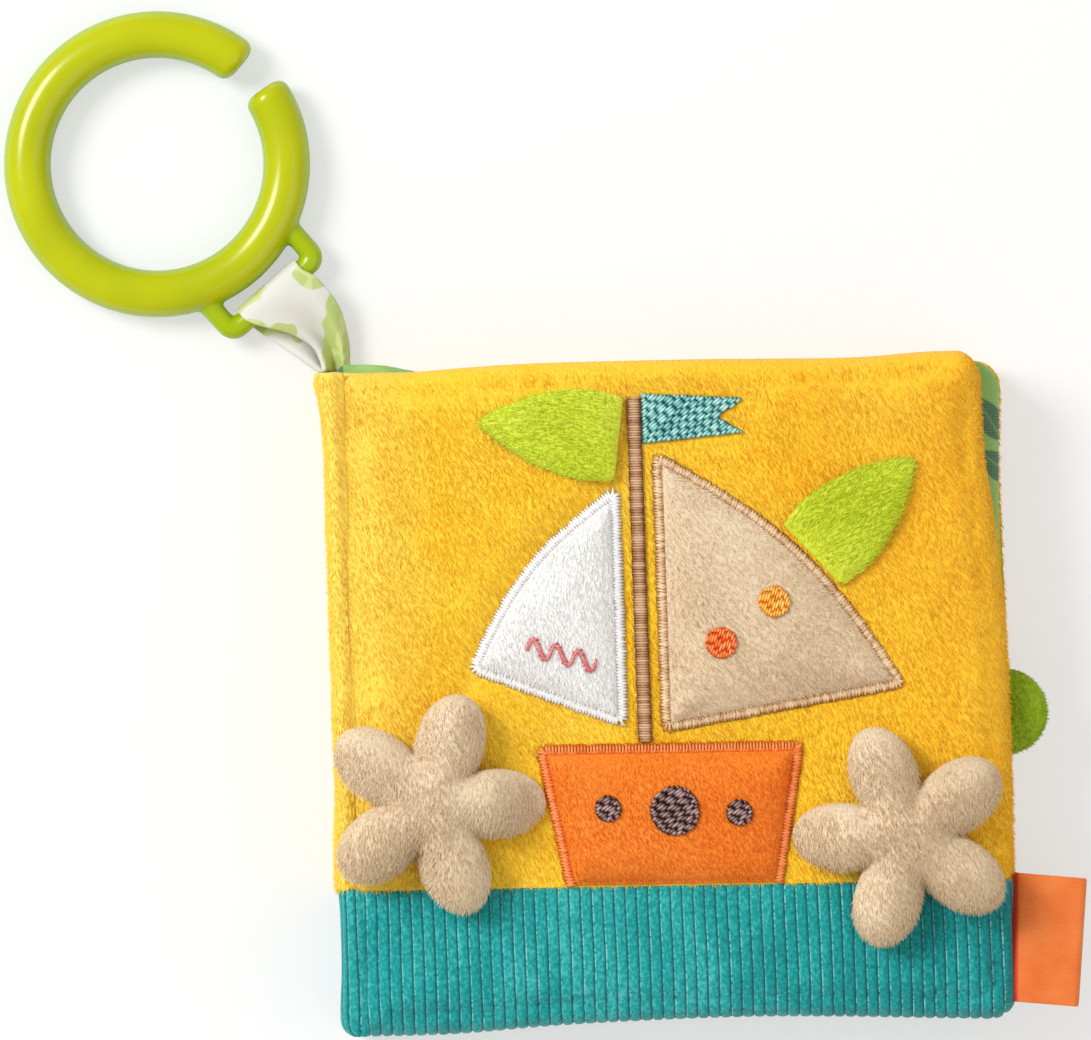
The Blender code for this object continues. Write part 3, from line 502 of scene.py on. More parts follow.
def moved_to(made, places):
    """Moves each point of a piece."""
    made.data.vertices.foreach_set("co", places.ravel())
    made.data.update()
    return made


CLOTH_STEPS = 20


def swollen(pad, held, cap, pressure=4.0, grown=10.0):
    """Lets cloth simulation fill a pad between what holds it, and gives how far each point moves.

    No point moves by more than the cap. The copy that is simulated is ten times as big, where cloth
    behaves as it does at full size.
    """
    rest = places_of(pad)
    model = pad.copy()
    model.data = pad.data.copy()
    bpy.context.collection.objects.link(model)
    model.data.vertices.foreach_set("co", (rest * grown).ravel())
    pins = model.vertex_groups.new(name="held")
    pins.add([int(k) for k in np.flatnonzero(held)], 1.0, "REPLACE")
    cloth = model.modifiers.new("Filling", "CLOTH")
    cloth.settings.quality = 5
    cloth.settings.mass = 0.3
    cloth.settings.tension_stiffness = cloth.settings.compression_stiffness = 15
    cloth.settings.shear_stiffness = 5
    cloth.settings.bending_stiffness = 0.6
    cloth.settings.use_pressure = True
    cloth.settings.uniform_pressure_force = pressure
    cloth.settings.effector_weights.gravity = 0
    cloth.settings.vertex_group_mass = "held"
    cloth.collision_settings.use_collision = False
    for step in range(1, CLOTH_STEPS + 1):
        bpy.context.scene.frame_set(step)
    settled = model.evaluated_get(bpy.context.evaluated_depsgraph_get()).to_mesh()
    now = np.empty(rest.size)
    settled.vertices.foreach_get("co", now)
    bpy.context.scene.frame_set(1)
    bpy.data.objects.remove(model, do_unlink=True)
    moved = now.reshape(-1, 3) / grown - rest
    reach = np.linalg.norm(moved, axis=1)[:, None]
    return moved * np.where(reach > cap, cap / np.maximum(reach, 1e-9), 1)


# The sewn-on picture's outlines come first, as the plush under them is held down by their stitches.
PICTURE_HALF = np.array((48 * MM, 60 * MM))


def bulged(corners, bulges, every=1.2 * MM):
    """An anticlockwise outline through corners, whose sides swell outwards by the amounts given."""
    points = []
    for k, bulge in enumerate(bulges):
        start, end = corners[k], corners[(k + 1) % len(corners)]
        run = end - start
        length = np.linalg.norm(run)
        out = np.array((run[1], -run[0])) / length
        count = max(2, round(length / every))
        for step in range(count):
            share = step / count
            points.append(start + run * share + out * bulge * math.sin(math.pi * share))
    return np.array(points)


hull_corners = np.array(((-0.40, -0.58), (0.44, -0.58), (0.54, -0.17), (-0.50, -0.17))) * PICTURE_HALF
hull_corners[:2, 1] = BAND_TOP - 0.2 * MM  # its foot goes into the corduroy's seam
mainsail_corners = np.array(((0.01, -0.10), (0.96, 0.03), (0.01, 0.77))) * PICTURE_HALF
jib_corners = np.array(((-0.17, -0.08), (-0.17, 0.66), (-0.76, 0.10))) * PICTURE_HALF
MAINSAIL_BULGE = 5 * MM
hull_line = bulged(hull_corners, (0, 0, 0, 0))
mainsail_line = bulged(mainsail_corners, (0, MAINSAIL_BULGE, 0))
jib_line = bulged(jib_corners, (0, 3.5 * MM, 0))
mast_foot = np.array((-0.08 * PICTURE_HALF[0], hull_corners[3][1] + 1.4 * MM))
mast_head = np.array((-0.08, 0.97)) * PICTURE_HALF
MAST_WIDTH = 2.6 * MM
mast_line = np.array([
    (mast_foot[0] - MAST_WIDTH / 2, mast_foot[1]), (mast_foot[0] + MAST_WIDTH / 2, mast_foot[1]),
    (mast_head[0] + MAST_WIDTH / 2, mast_head[1]), (mast_head[0] - MAST_WIDTH / 2, mast_head[1]),
])
pennant_shares = ((-0.04, 0.82), (0.36, 0.85), (0.26, 0.90), (0.36, 0.96), (-0.04, 0.98))
pennant_line = np.array(pennant_shares) * PICTURE_HALF
pennant_line[[0, 4], 0] = mast_foot[0] + MAST_WIDTH / 2 + 0.3 * MM
patch_lines = (hull_line, mainsail_line, jib_line, mast_line, pennant_line)


def under_picture(x, y, margin=0.0):
    """Whether points lie under the sewn-on patches, or within a margin of them."""
    flat = straightened(np.stack((x, y), axis=1))
    covered = np.zeros(len(flat), bool)
    for line in patch_lines:
        covered |= from_seam(flat, line) > -margin
    return covered


FRONT_SHAPE = {"pull": (0, 0, 0, 0), "head": HEAD_WAVE, "free_edge": FREE_WAVE}
front_line = leaf_outline(LEAF_LEFT, FREE_EDGE + 1.2 * MM, FOOT, HEAD, **FRONT_SHAPE)
COVER_ROUND = 3.2 * MM  # the round of a cover's padded edge


def rolled_sides(outline):
    """The three sides that have a rolled edge: the fourth is moved away, as the plush runs on there."""
    sides = outline.copy()
    sides[sides[:, 0] < LEAF_LEFT + 1.6 * MM, 0] -= 12 * MM
    return sides


free_rim = rolled_sides(front_line)
front_model = sewn(
    "front_model", front_line, every=2.2 * MM, edge=COVER_ROUND,
    top=lambda x, y, d: SEAM_LEVEL + (PAD_HEIGHT - 0.5 * MM) * roll(d, COVER_ROUND),
    under=lambda x, y, d: np.full_like(x, SEAM_LEVEL - 0.2 * MM), seam=SEAM_LEVEL, finish=yellow_plush,
)
model_places = places_of(front_model)
held_down = (model_places[:, 2] < SEAM_LEVEL + 0.3 * MM) | under_picture(*model_places[:, :2].T, 0.8 * MM)
held_down |= np.abs(straightened(model_places)[:, 1] - BAND_TOP) < 1.2 * MM
front_rise = swollen(front_model, held_down, cap=1.5 * MM)
rise_tree = kdtree.KDTree(len(model_places))
for index, place in enumerate(model_places):
    on_top = place[2] > SEAM_LEVEL + 0.5 * MM
    rise_tree.insert((place[0], place[1], 0) if on_top else (9, 9, 9), index)
rise_tree.balance()
bpy.data.objects.remove(front_model, do_unlink=True)
STITCH_X = -60.9 * MM  # the row of stitches beside the spine


def swell(x, y):
    """How far the simulated cover rises at each place."""
    risen = []
    for a, b in askew(np.stack((x, y), axis=1)):
        near = rise_tree.find_n((a, b, 0), 4)
        weights = [1 / (gap + 0.3 * MM) for _, _, gap in near]
        risen.append(sum(w * front_rise[k][2] for w, (_, k, _) in zip(weights, near)) / sum(weights))
    return np.array(risen)


def cover_top(x, y, d):
    """The cover's height, with its rolled edge and the groove that its stitches draw by the spine."""
    height = SEAM_LEVEL + (PAD_HEIGHT - 0.35 * MM) * roll(d, COVER_ROUND)
    height -= 0.55 * MM * np.exp(-((x - STITCH_X) / (1.5 * MM)) ** 2) * np.clip(d / (3 * MM), 0, 1)
    fade = np.clip(d / (4 * MM), 0, 1)
    return height + swell(x, y) * fade + 0.22 * MM * clouds(x, y, 17 * MM, 3.1) * fade


def cover_under(x, y, d):
    return np.full_like(x, SEAM_LEVEL - 0.2 * MM) + 0.1 * MM * clouds(x, y, 20 * MM, 5.0)


def cut_across(outline, level, upper, every):
    """The part of an outline above or below a level, closed along it by points this far apart."""
    side = 1 if upper else -1
    kept = side * (outline[:, 1] - level) > 0
    start = next(k for k in range(len(outline)) if kept[k] and not kept[k - 1])
    turned = np.roll(outline, -start, axis=0)
    length = int(kept.sum())
    ends = []
    for inside, outside in ((turned[0], turned[-1]), (turned[length - 1], turned[length])):
        ends.append(inside + (outside - inside) * (level - inside[1]) / (outside[1] - inside[1]))
    first, last = ends
    count = max(2, round(abs(first[0] - last[0]) / every))
    closing = last + (first - last) * (np.arange(0, count + 1) / count)[:, None]
    return np.concatenate([turned[:length], closing])


upper_line = cut_across(front_line, BAND_TOP - 0.5 * MM, True, 1.2 * MM)


def at_seam(top, x, y):
    """A top's height at one point of its own seam: low at the cover's edges, high along the band."""
    return float(top(np.array([x]), np.array([y]), np.zeros(1))[0])


def yellow_top(x, y, d):
    """The yellow pad's own top: it dips where the corduroy's seam draws it down."""
    dip = 0.15 * MM * (1 - roll(y - BAND_TOP + 0.5 * MM, 1.6 * MM))
    return cover_top(x, y, inside_by(x, y, free_rim)) - dip


front_pad = sewn(
    "front_cover_yellow_pad", upper_line, every=1.5 * MM, edge=COVER_ROUND, top=yellow_top,
    under=cover_under, seam=lambda x, y: at_seam(yellow_top, x, y), finish=yellow_plush,
)
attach(front_pad, "front_cover")
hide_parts("front_cover_plush", "front_cover_wadding", "front_cover_crinkle_foil")


def as_mesh(made):
    """Applies what the modifiers do, and takes them off."""
    settled = made.evaluated_get(bpy.context.evaluated_depsgraph_get())
    mesh = bpy.data.meshes.new_from_object(settled)
    made.modifiers.clear()
    made.data = mesh
    if not mesh.has_custom_normals:
        mesh.shade_smooth()
    return made


class Pattern(Recipe):
    """A Geometry Nodes tree for what repeats over a surface or along a line, with named inputs."""

    def __init__(self, name, **sizes):
        self.tree = bpy.data.node_groups.new(name, "GeometryNodeTree")
        face = self.tree.interface
        face.new_socket("Geometry", in_out="INPUT", socket_type="NodeSocketGeometry")
        for size, kind in sizes.items():
            face.new_socket(size, in_out="INPUT", socket_type="NodeSocket" + kind)
        face.new_socket("Geometry", in_out="OUTPUT", socket_type="NodeSocketGeometry")
        self.given = self.tree.nodes.new("NodeGroupInput")

    def size(self, name):
        return Amount(self, self.given.outputs[name])

    def kept(self, name, kind="FLOAT"):
        """What the mesh keeps for each point under a name."""
        return self.node("GeometryNodeInputNamedAttribute", {"data_type": kind}, {"Name": name})

    def keeping(self, geometry, name, value, kind="FLOAT"):
        """The same geometry, with a value kept for each point under a name."""
        return self.node("GeometryNodeStoreNamedAttribute", {"data_type": kind, "domain": "POINT"}, {
            "Geometry": geometry, "Name": name, "Value": value,
        })

    def scaled(self, vector, scale):
        return self.node("ShaderNodeVectorMath", {"operation": "SCALE"}, {0: vector, "Scale": scale})

    def ends(self, geometry, finish):
        real = self.node("GeometryNodeRealizeInstances", None, {0: geometry})
        dressed = self.node("GeometryNodeSetMaterial", None, {"Geometry": real, "Material": finish})
        out = self.tree.nodes.new("NodeGroupOutput")
        self.tree.links.new(dressed.socket, out.inputs[0])

    def worked(self, made, **sizes):
        """Runs the pattern on an object, which becomes a plain mesh."""
        run = made.modifiers.new("Pattern", "NODES")
        run.node_group = self.tree
        for item in self.tree.interface.items_tree:
            if item.in_out == "INPUT" and item.name in sizes:
                run[item.identifier] = sizes[item.name]
        return as_mesh(made)


pile = Pattern(
    "pile", Hairs="Float", Length="Float", Width="Float", Nap="Vector", Wander="Float", Sparse="Int",
    Finish="Material",
)
bristle_points = pile.node("GeometryNodeDistributePointsOnFaces", None, {
    "Mesh": pile.size("Geometry"), "Density": pile.size("Hairs"), "Seed": pile.size("Sparse"),
    "Selection": pile.kept("piled", "BOOLEAN"),
})
bristle_normal = Amount(pile, bristle_points.socket.node.outputs["Normal"])
lit_points = pile.keeping(bristle_points, "cloth normal", bristle_normal, "FLOAT_VECTOR")
bristle = pile.node("GeometryNodeMeshCone", {"fill_type": "NGON"}, {
    "Vertices": 3, "Side Segments": 1, "Radius Bottom": 0.5, "Radius Top": 0.0, "Depth": 1.0,
})
drift = pile.node("ShaderNodeTexNoise", None, {
    "Vector": pile.node("GeometryNodeInputPosition"), "Scale": 110.0, "Detail": 2.0,
}, output=1)
drift = pile.scaled(pile.vectors("SUBTRACT", drift, (0.5, 0.5, 0.5)), pile.size("Wander"))
stray = pile.node("FunctionNodeRandomValue", {"data_type": "FLOAT_VECTOR"}, {
    0: (-0.35, -0.35, -0.2), 1: (0.35, 0.35, 0.35), "Seed": 3,
})
lean = pile.vectors("ADD", pile.vectors("ADD", pile.size("Nap"), drift), stray)
lean = pile.vectors("ADD", lean, pile.vectors("MULTIPLY", bristle_normal, (0.35, 0.35, 0.35)))
stand = pile.node("FunctionNodeAlignRotationToVector", {"axis": "Z"}, {"Vector": lean})
unlike = pile.node("FunctionNodeRandomValue", {"data_type": "FLOAT"}, {
    2: 0.65, 3: 1.25, "Seed": 5,
}, output=1)
bristle_scale = pile.node("ShaderNodeCombineXYZ", None, {
    0: pile.size("Width"), 1: pile.size("Width"), 2: pile.size("Length") * unlike,
})
hairs = pile.node("GeometryNodeInstanceOnPoints", None, {
    "Points": lit_points, "Instance": bristle, "Rotation": stand, "Scale": bristle_scale,
})
hairs = pile.node("GeometryNodeRealizeInstances", None, {0: hairs})
hairs = pile.node("GeometryNodeSetMeshNormal", {"mode": "FREE", "domain": "POINT"}, {
    "Mesh": hairs, "Custom Normal": pile.kept("cloth normal", "FLOAT_VECTOR"),
})
pile.ends(hairs, pile.size("Finish"))


def piled(cloth, name, finish, hairs, length, width, nap, where, seed, wander=1.6):
    """The cloth's pile, as an object of its own: hairs are how many stand on a square metre."""
    model = cloth.copy()
    model.data = cloth.data.copy()
    model.name = name
    bpy.context.collection.objects.link(model)
    for key in list(model.keys()):
        del model[key]
    model.parent = None
    faces = model.data.polygons
    middles = np.empty(len(faces) * 3)
    faces.foreach_get("center", middles)
    normals = np.empty(len(faces) * 3)
    faces.foreach_get("normal", normals)
    shown = where(middles.reshape(-1, 3), normals.reshape(-1, 3))
    marks = model.data.attributes.new("piled", "BOOLEAN", "FACE")
    marks.data.foreach_set("value", shown)
    return pile.worked(
        model, Hairs=float(hairs), Length=length, Width=width, Nap=nap, Wander=wander, Sparse=seed,
        Finish=finish,
    )


def outer_face(middles, normals):
    shown = (normals[:, 2] > -0.35) & (middles[:, 2] > SEAM_LEVEL + 0.5 * MM)
    return shown & ~under_picture(middles[:, 0], middles[:, 1], -1.4 * MM)


front_pile = piled(
    front_pad, "front_cover_pile", yellow_plush, hairs=3.9e6, length=1.15 * MM, width=0.3 * MM,
    nap=(0.35, -1.0, 0.0), where=outer_face, seed=1,
)
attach(front_pile, "front_cover")

# The corduroy band across the front cover's foot. Cotton corduroy with flat wales 2.2 mm apart is sewn
# to the plush at its upper edge, so the pile hangs over the seam, and to the lining at the other three.
WALE = 2.2 * MM
WALE_DEPTH = 0.5 * MM
WALES_FROM = -0.2  # where the covers' wales are counted from, in metres


def corduroy(name):
    """Mottled wales, darker towards the right as painted shade, with a pale row of loops in each furrow
    that is partly a painted highlight, and painted shade on the furrow's other side.
    """
    cloth = Finish(name, 0.85, Sheen_Weight=0.2, Sheen_Roughness=0.5, Specular_IOR_Level=0.2)
    across = cloth.marked("across")
    part = across.sum("FLOORED_MODULO", across, WALE) / WALE
    nap = cloth.noise((1700, 1100, 1700), 3.0)
    patches = cloth.noise((130, 60, 130), 2.5)
    # painted shade: the wales darken towards the right
    away = (cloth.along("X") / (65 * MM)).clipped()
    tone = nap * 0.9 + patches * 0.45 - 0.17 - away * 0.14
    velvet = cloth.shades(
        tone, (0.22, dyed(4, 122, 122)), (0.5, dyed(22, 158, 157)), (0.8, dyed(84, 198, 196)),
    )
    # at each furrow: pale loops on one side, partly real and partly a painted highlight, broken up by
    # noise, and painted shade on the other side
    loops = cloth.noise((500, 1700, 500), 1.0).above(0.48, 0.18)
    pale_breaks = cloth.noise((160, 90, 160), 2.0).above(0.5, 0.3)
    painted_furrow_shade = part.above(0.84, 0.14) * 0.75
    loops_and_highlight = (1 - part.above(0.10, 0.08)) * loops * (pale_breaks * 0.6 + 0.3)
    shaded = cloth.mixed(painted_furrow_shade, velvet, dyed(0, 84, 90))
    cloth.coloured(cloth.mixed(loops_and_highlight, shaded, dyed(146, 214, 214)))
    cloth.raised(nap * 0.6 + loops * 0.3, 0.3 * MM, 0.7)
    return cloth.material


teal_corduroy = corduroy("teal_corduroy")

wales = Pattern("wales", Pitch="Float", Depth="Float", Finish="Material")
wale_across = wales.kept("across")
wale_part = wale_across.sum("FLOORED_MODULO", wale_across, wales.size("Pitch")) / wales.size("Pitch")
wale_side = wale_part.sum("ABSOLUTE", wale_part * 2 - 1)
wale_round = 1 - wale_side.sum("POWER", wale_side, 3.5)
wale_lift = wales.scaled(
    wales.node("GeometryNodeInputNormal"), wale_round * wales.size("Depth") * wales.kept("full"))
waled = wales.node("GeometryNodeSetPosition", None, {
    "Geometry": wales.size("Geometry"), "Offset": wale_lift,
})
wales.ends(waled, wales.size("Finish"))


def waled_cloth(cloth, across, full, finish):
    """Raises the wales on a cloth.

    Across is how far over the wales each point lies, in metres. Full is 0 where the cloth is plain
    and 1 where the wales stand up.
    """
    level = places_of(cloth)[:, 1]
    across = np.asarray(across) + 0.16 * MM * clouds(level, np.asarray(across), 16 * MM, 2.0)
    for name, values in (("across", across), ("full", full)):
        attribute = cloth.data.attributes.new(name, "FLOAT", "POINT")
        attribute.data.foreach_set("value", np.asarray(values, np.float32))
    return wales.worked(cloth, Pitch=WALE, Depth=WALE_DEPTH, Finish=finish)


def band_fullness(places):
    """The wales flatten out where the band goes into its upper seam."""
    return roll(np.maximum(BAND_TOP - 0.2 * MM - straightened(places)[:, 1], 0), 1.4 * MM)


fine_line = leaf_outline(
    LEAF_LEFT - 0.2 * MM, FREE_EDGE + 1.3 * MM, FOOT - 0.1 * MM, HEAD, every=0.42 * MM, **FRONT_SHAPE)
fine_rim = rolled_sides(fine_line)
lower_line = cut_across(fine_line, BAND_TOP, False, 0.42 * MM)


def band_top(x, y, d):
    dip = 0.7 * MM * (1 - roll(BAND_TOP - y, 1.6 * MM))
    return cover_top(x, y, inside_by(x, y, fine_rim)) - 0.35 * MM - dip


front_band = sewn(
    "front_cover_corduroy_band", lower_line, every=(0.36 * MM, 1.1 * MM), edge=2.6 * MM, top=band_top,
    under=cover_under, seam=lambda x, y: at_seam(band_top, x, y), finish=teal_corduroy,
)
band_places = places_of(front_band)
front_band = waled_cloth(
    front_band, band_places[:, 0] - WALES_FROM,
    (band_places[:, 2] > SEAM_LEVEL + 0.6 * MM) * band_fullness(band_places), teal_corduroy,
)
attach(front_band, "front_cover")
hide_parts("front_cover_corduroy")

# The front cover's lining, which faces the first page: green cotton printed with leaves, sewn flat
# against the pad along the three free edges and into the spine's seam.
LEAVES_IN_A_METRE = 84


def printed_cotton(name, ground, light, leaf, vein, seed):
    """A woven ground printed all over with small leaves, some darker than it and some lighter."""
    cloth = Finish(name, 0.8, Sheen_Weight=0.08, Specular_IOR_Level=0.25)
    warp = cloth.along("X").folded(0.5 * MM)
    weft = cloth.along("Y").folded(0.5 * MM)
    weave = warp * 0.5 + weft * 0.5
    spread = cloth.node("ShaderNodeMapping", None, {
        "Vector": cloth.place, "Location": (seed, seed * 0.7, 0), "Scale": (LEAVES_IN_A_METRE,) * 3})
    cells = cloth.node("ShaderNodeTexVoronoi", {"voronoi_dimensions": "2D"}, {
        "Vector": spread, "Scale": 1.0, "Randomness": 0.75})
    draw = Amount(cloth, cells.socket.node.outputs["Color"])
    middle = Amount(cloth, cells.socket.node.outputs["Position"])
    turned = cloth.node("ShaderNodeVectorRotate", {"rotation_type": "Z_AXIS"}, {
        "Vector": cloth.vectors("SUBTRACT", spread, middle), "Angle": draw * 14.0})
    length = cloth.part(turned, "X")
    side = cloth.part(turned, "Y")
    side = side.sum("ABSOLUTE", side)
    shape = (1 - length * length * 5.2 - side * 4.6).above(0.0, 0.12)
    rib = 1 - side.above(0.022, 0.02)
    is_dark = draw.above(0.46, 0.02)
    cloud = cloth.noise((60, 60, 60), 2.0)
    tint = cloth.mixed(cloud, dyed(*ground), dyed(*light))
    tint = cloth.mixed(shape * (1 - is_dark) * 0.75, tint, dyed(*light))
    tint = cloth.mixed(shape * is_dark, tint, dyed(*leaf))
    tint = cloth.mixed(shape * rib * 0.7, tint, dyed(*vein))
    cloth.coloured(cloth.mixed(weave * 0.16, tint, (1, 1, 1, 1)))
    cloth.raised(weave, 0.12 * MM, 0.6)
    return cloth.material


green_print = printed_cotton(
    "green_print_cotton", (106, 162, 58), (152, 198, 92), (44, 106, 58), (94, 148, 72), 0.0)


def flat_cloth(name, outline, level, seed, thick=0.5 * MM, waves=0.08 * MM, edge=0.6 * MM):
    """A cloth of green print that lies flat, with slow waves, as a closed thin sheet."""
    def wave(x, y):
        return waves * clouds(x, y, 24 * MM, seed)

    return sewn(
        name, outline, every=2.6 * MM, edge=edge,
        top=lambda x, y, d: level + thick / 2 * roll(d, edge) + wave(x, y),
        under=lambda x, y, d: level - thick / 2 * roll(d, edge) + wave(x, y),
        seam=lambda x, y: level + float(wave([x], [y])[0]), finish=green_print,
    )


lining_line = leaf_outline(
    LEAF_LEFT + 1.2 * MM, FREE_EDGE - 0.2 * MM, FOOT + 1.4 * MM, HEAD - 1.4 * MM, **FRONT_SHAPE)
front_lining = flat_cloth("front_cover_inner_cloth", lining_line, level=17.9 * MM, seed=7.0)


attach(front_lining, "front_cover")
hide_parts("front_cover_lining")

# The back cover is made as the front one is, the other way up and a little wider at its top, so that
# its edge shows past the pages. It has no picture, so its pad swells evenly.
BACK_TOP = 6.3 * MM  # the back cover's seam, over the face that it rests on
BACK_LEAN = 2.2 * MM
BACK_WAVE = (
    (-70, 0.2), (-30, 0.3), (-10, 0.5), (14, 0.8), (27, 0.4), (44, -0.4), (56, -0.2), (70, 0.0),
)
back_line = leaf_outline(
    LEAF_LEFT, FREE_EDGE + 1 * MM, FOOT, HEAD, lean=BACK_LEAN, free_edge=BACK_WAVE)
back_fine = leaf_outline(
    LEAF_LEFT - 0.2 * MM, FREE_EDGE + 1.1 * MM, FOOT - 0.1 * MM, HEAD, lean=BACK_LEAN, every=0.42 * MM,
    free_edge=BACK_WAVE)


def back_under(x, y, d):
    """The outer plush, flat where the book rests on it."""
    hang = 0.25 * MM + 0.2 * MM * clouds(x, y, 17 * MM, 9.0)
    drop = BACK_TOP * roll(inside_by(x, y, back_line), COVER_ROUND)
    return np.maximum(BACK_TOP - drop + hang, 0.12 * MM)


def back_top(x, y, d):
    return np.full_like(x, BACK_TOP + 0.2 * MM) + 0.1 * MM * clouds(x, y, 20 * MM, 11.0)


back_pad = sewn(
    "back_cover_yellow_pad", cut_across(back_line, BAND_TOP - 0.4 * MM, True, 1.5 * MM),
    every=1.8 * MM, edge=COVER_ROUND, top=back_top, under=back_under,
    seam=lambda x, y: at_seam(back_under, x, y), finish=yellow_plush,
)
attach(back_pad, "back_cover")
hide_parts("back_cover_plush", "back_cover_wadding", "back_cover_crinkle_foil")


def back_sides(middles, normals):
    level = middles[:, 2]
    return (normals[:, 2] < 0.3) & (level < BACK_TOP - 0.3 * MM) & (level > 1.2 * MM)


def rested(made):
    """Flattens a piece where it lies on the table."""
    places = places_of(made)
    places[:, 2] = np.maximum(places[:, 2], 0.03 * MM)
    return moved_to(made, places)


back_pile = rested(piled(
    back_pad, "back_cover_pile", yellow_plush, hairs=2.6e6, length=1.4 * MM, width=0.34 * MM,
    nap=(0.1, -1.0, 0.5), where=back_sides, seed=2, wander=0.8,
))
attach(back_pile, "back_cover")


def back_band_under(x, y, d):
    return back_under(x, y, d) + 0.25 * MM


back_band = sewn(
    "back_cover_corduroy_band", cut_across(back_fine, BAND_TOP, False, 0.42 * MM),
    every=(0.4 * MM, 1.4 * MM), edge=2.6 * MM, top=back_top, under=back_band_under,
    seam=lambda x, y: at_seam(back_band_under, x, y), finish=teal_corduroy,
)
band_places = places_of(back_band)
back_band = rested(waled_cloth(
    back_band, band_places[:, 0] - WALES_FROM, (band_places[:, 2] < BACK_TOP - 0.4 * MM) * 1.0,
    teal_corduroy,
))
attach(back_band, "back_cover")
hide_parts("back_cover_corduroy")

back_lining_line = leaf_outline(
    LEAF_LEFT + 1.2 * MM, FREE_EDGE - 0.4 * MM, FOOT + 1.4 * MM, HEAD - 1.4 * MM, lean=BACK_LEAN)
back_lining = flat_cloth(
    "back_cover_inner_cloth", back_lining_line, level=BACK_TOP + 0.35 * MM, seed=13.0)
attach(back_lining, "back_cover")
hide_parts("back_cover_lining")

# The spine: one strip of plush above and corduroy below, which goes from cover to cover round the
# pages' edges. It is cut in two at its middle here.
SPINE_MIDDLE = 12.25 * MM
SPINE_OUT = -65.3 * MM
SPINE_THICK = 1.3 * MM
UPPER_PATH = (
    (SPINE_OUT, SPINE_MIDDLE), (SPINE_OUT + 0.05 * MM, 17 * MM), (SPINE_OUT + 0.3 * MM, 21.2 * MM),
    (SPINE_OUT + 1.1 * MM, 23.5 * MM), (SPINE_OUT + 2.4 * MM, 24.2 * MM),
    (SPINE_OUT + 3.6 * MM, 24.05 * MM), (SPINE_OUT + 4.6 * MM, 23.6 * MM),
    (SPINE_OUT + 5.4 * MM, 23.1 * MM),
)
FOLD_X = STITCH_X
# How far in the spine's face lies at each height, in millimetres: full at the head, drawn in below it.
SPINE_WAVE = (
    (-70, 0.3), (-61, 0.3), (-52, 0.8), (-41, 0.8), (-35, 0.4), (-28, 0.5), (-16, 1.1), (20, 1.2),
    (46, 1.2), (53, 0.9), (59, 0.4), (64, -0.4), (70, -0.5),
)
FOOT_CORNER = 3 * MM


def spine_width(rows):
    """How wide the spine is beside its fold at each height, as a share. Its foot is rounded."""
    corner = FOOT_CORNER * (1 - roll(rows - FOOT + 0.6 * MM, FOOT_CORNER))
    return 1 - (wave_at(SPINE_WAVE, rows) + corner) / (FOLD_X - SPINE_OUT)


def strip(name, path, thick, low, high, every, finish, wave=0.0, seed=0.0, width=np.ones_like):
    """A cloth strip along Y, whose section follows a path of (x, z) with a thickness on its right.

    Width gives the section's width left of the spine's fold for each row, as a share. It also gives
    back how far across the strip each point lies, and 1 for each point of its outer face.
    """
    line, across = rounded_path(path, every[0])
    way = np.gradient(line, axis=0)
    way /= np.linalg.norm(way, axis=1)[:, None]
    inward = np.stack((way[:, 1], -way[:, 0]), axis=1)
    rows = np.linspace(low, high, max(2, round((high - low) / every[1])) + 1)
    near_ends = np.array((0.15, 0.4, 0.8, 1.3, 2.0)) * MM
    rows = np.union1d(rows, np.concatenate([low + near_ends, high - near_ends]))
    fall = np.minimum(rows - low, high - rows)
    bm = bmesh.new()
    grids = []
    for side in (0, 1):
        grid = []
        for y, end, wide in zip(rows, fall, width(rows)):
            round_in = (1 - roll(np.array([end]), 1.2 * MM)[0]) * thick * 0.5
            ring = []
            for (x, z), (ix, iz) in zip(line, inward):
                sway = wave * noise.noise(Vector((z / 9 / MM, y / 14 / MM, seed)))
                depth = (thick - round_in if side else round_in) + sway
                out = x + ix * depth - FOLD_X
                out = FOLD_X + (out * wide if out < 0 else out)
                ring.append(bm.verts.new((out, y - EDGE_DROP * x / BOOK_WIDTH, z + iz * depth)))
            grid.append(ring)
        grids.append(grid)
    outer, inner = grids
    last_row, last_column = len(rows) - 1, len(line) - 1
    for r in range(last_row):
        for c in range(last_column):
            bm.faces.new((outer[r][c], outer[r][c + 1], outer[r + 1][c + 1], outer[r + 1][c]))
            bm.faces.new((inner[r][c], inner[r + 1][c], inner[r + 1][c + 1], inner[r][c + 1]))
        for c in (0, last_column):
            bm.faces.new((outer[r][c], outer[r + 1][c], inner[r + 1][c], inner[r][c]))
    for r in (0, last_row):
        for c in range(last_column):
            bm.faces.new((outer[r][c], inner[r][c], inner[r][c + 1], outer[r][c + 1]))
    bmesh.ops.recalc_face_normals(bm, faces=bm.faces)
    mesh = bpy.data.meshes.new(name)
    bm.to_mesh(mesh)
    bm.free()
    mesh.shade_smooth()
    made = made_object(name, mesh, finish)
    return made, np.tile(across, 2 * len(rows)), np.repeat([1.0, 0.0], len(rows) * len(line))


def mirrored(path):
    """The same path under the spine's middle, from the back cover up."""
    return [(x, 2 * SPINE_MIDDLE - z) for x, z in path][::-1]


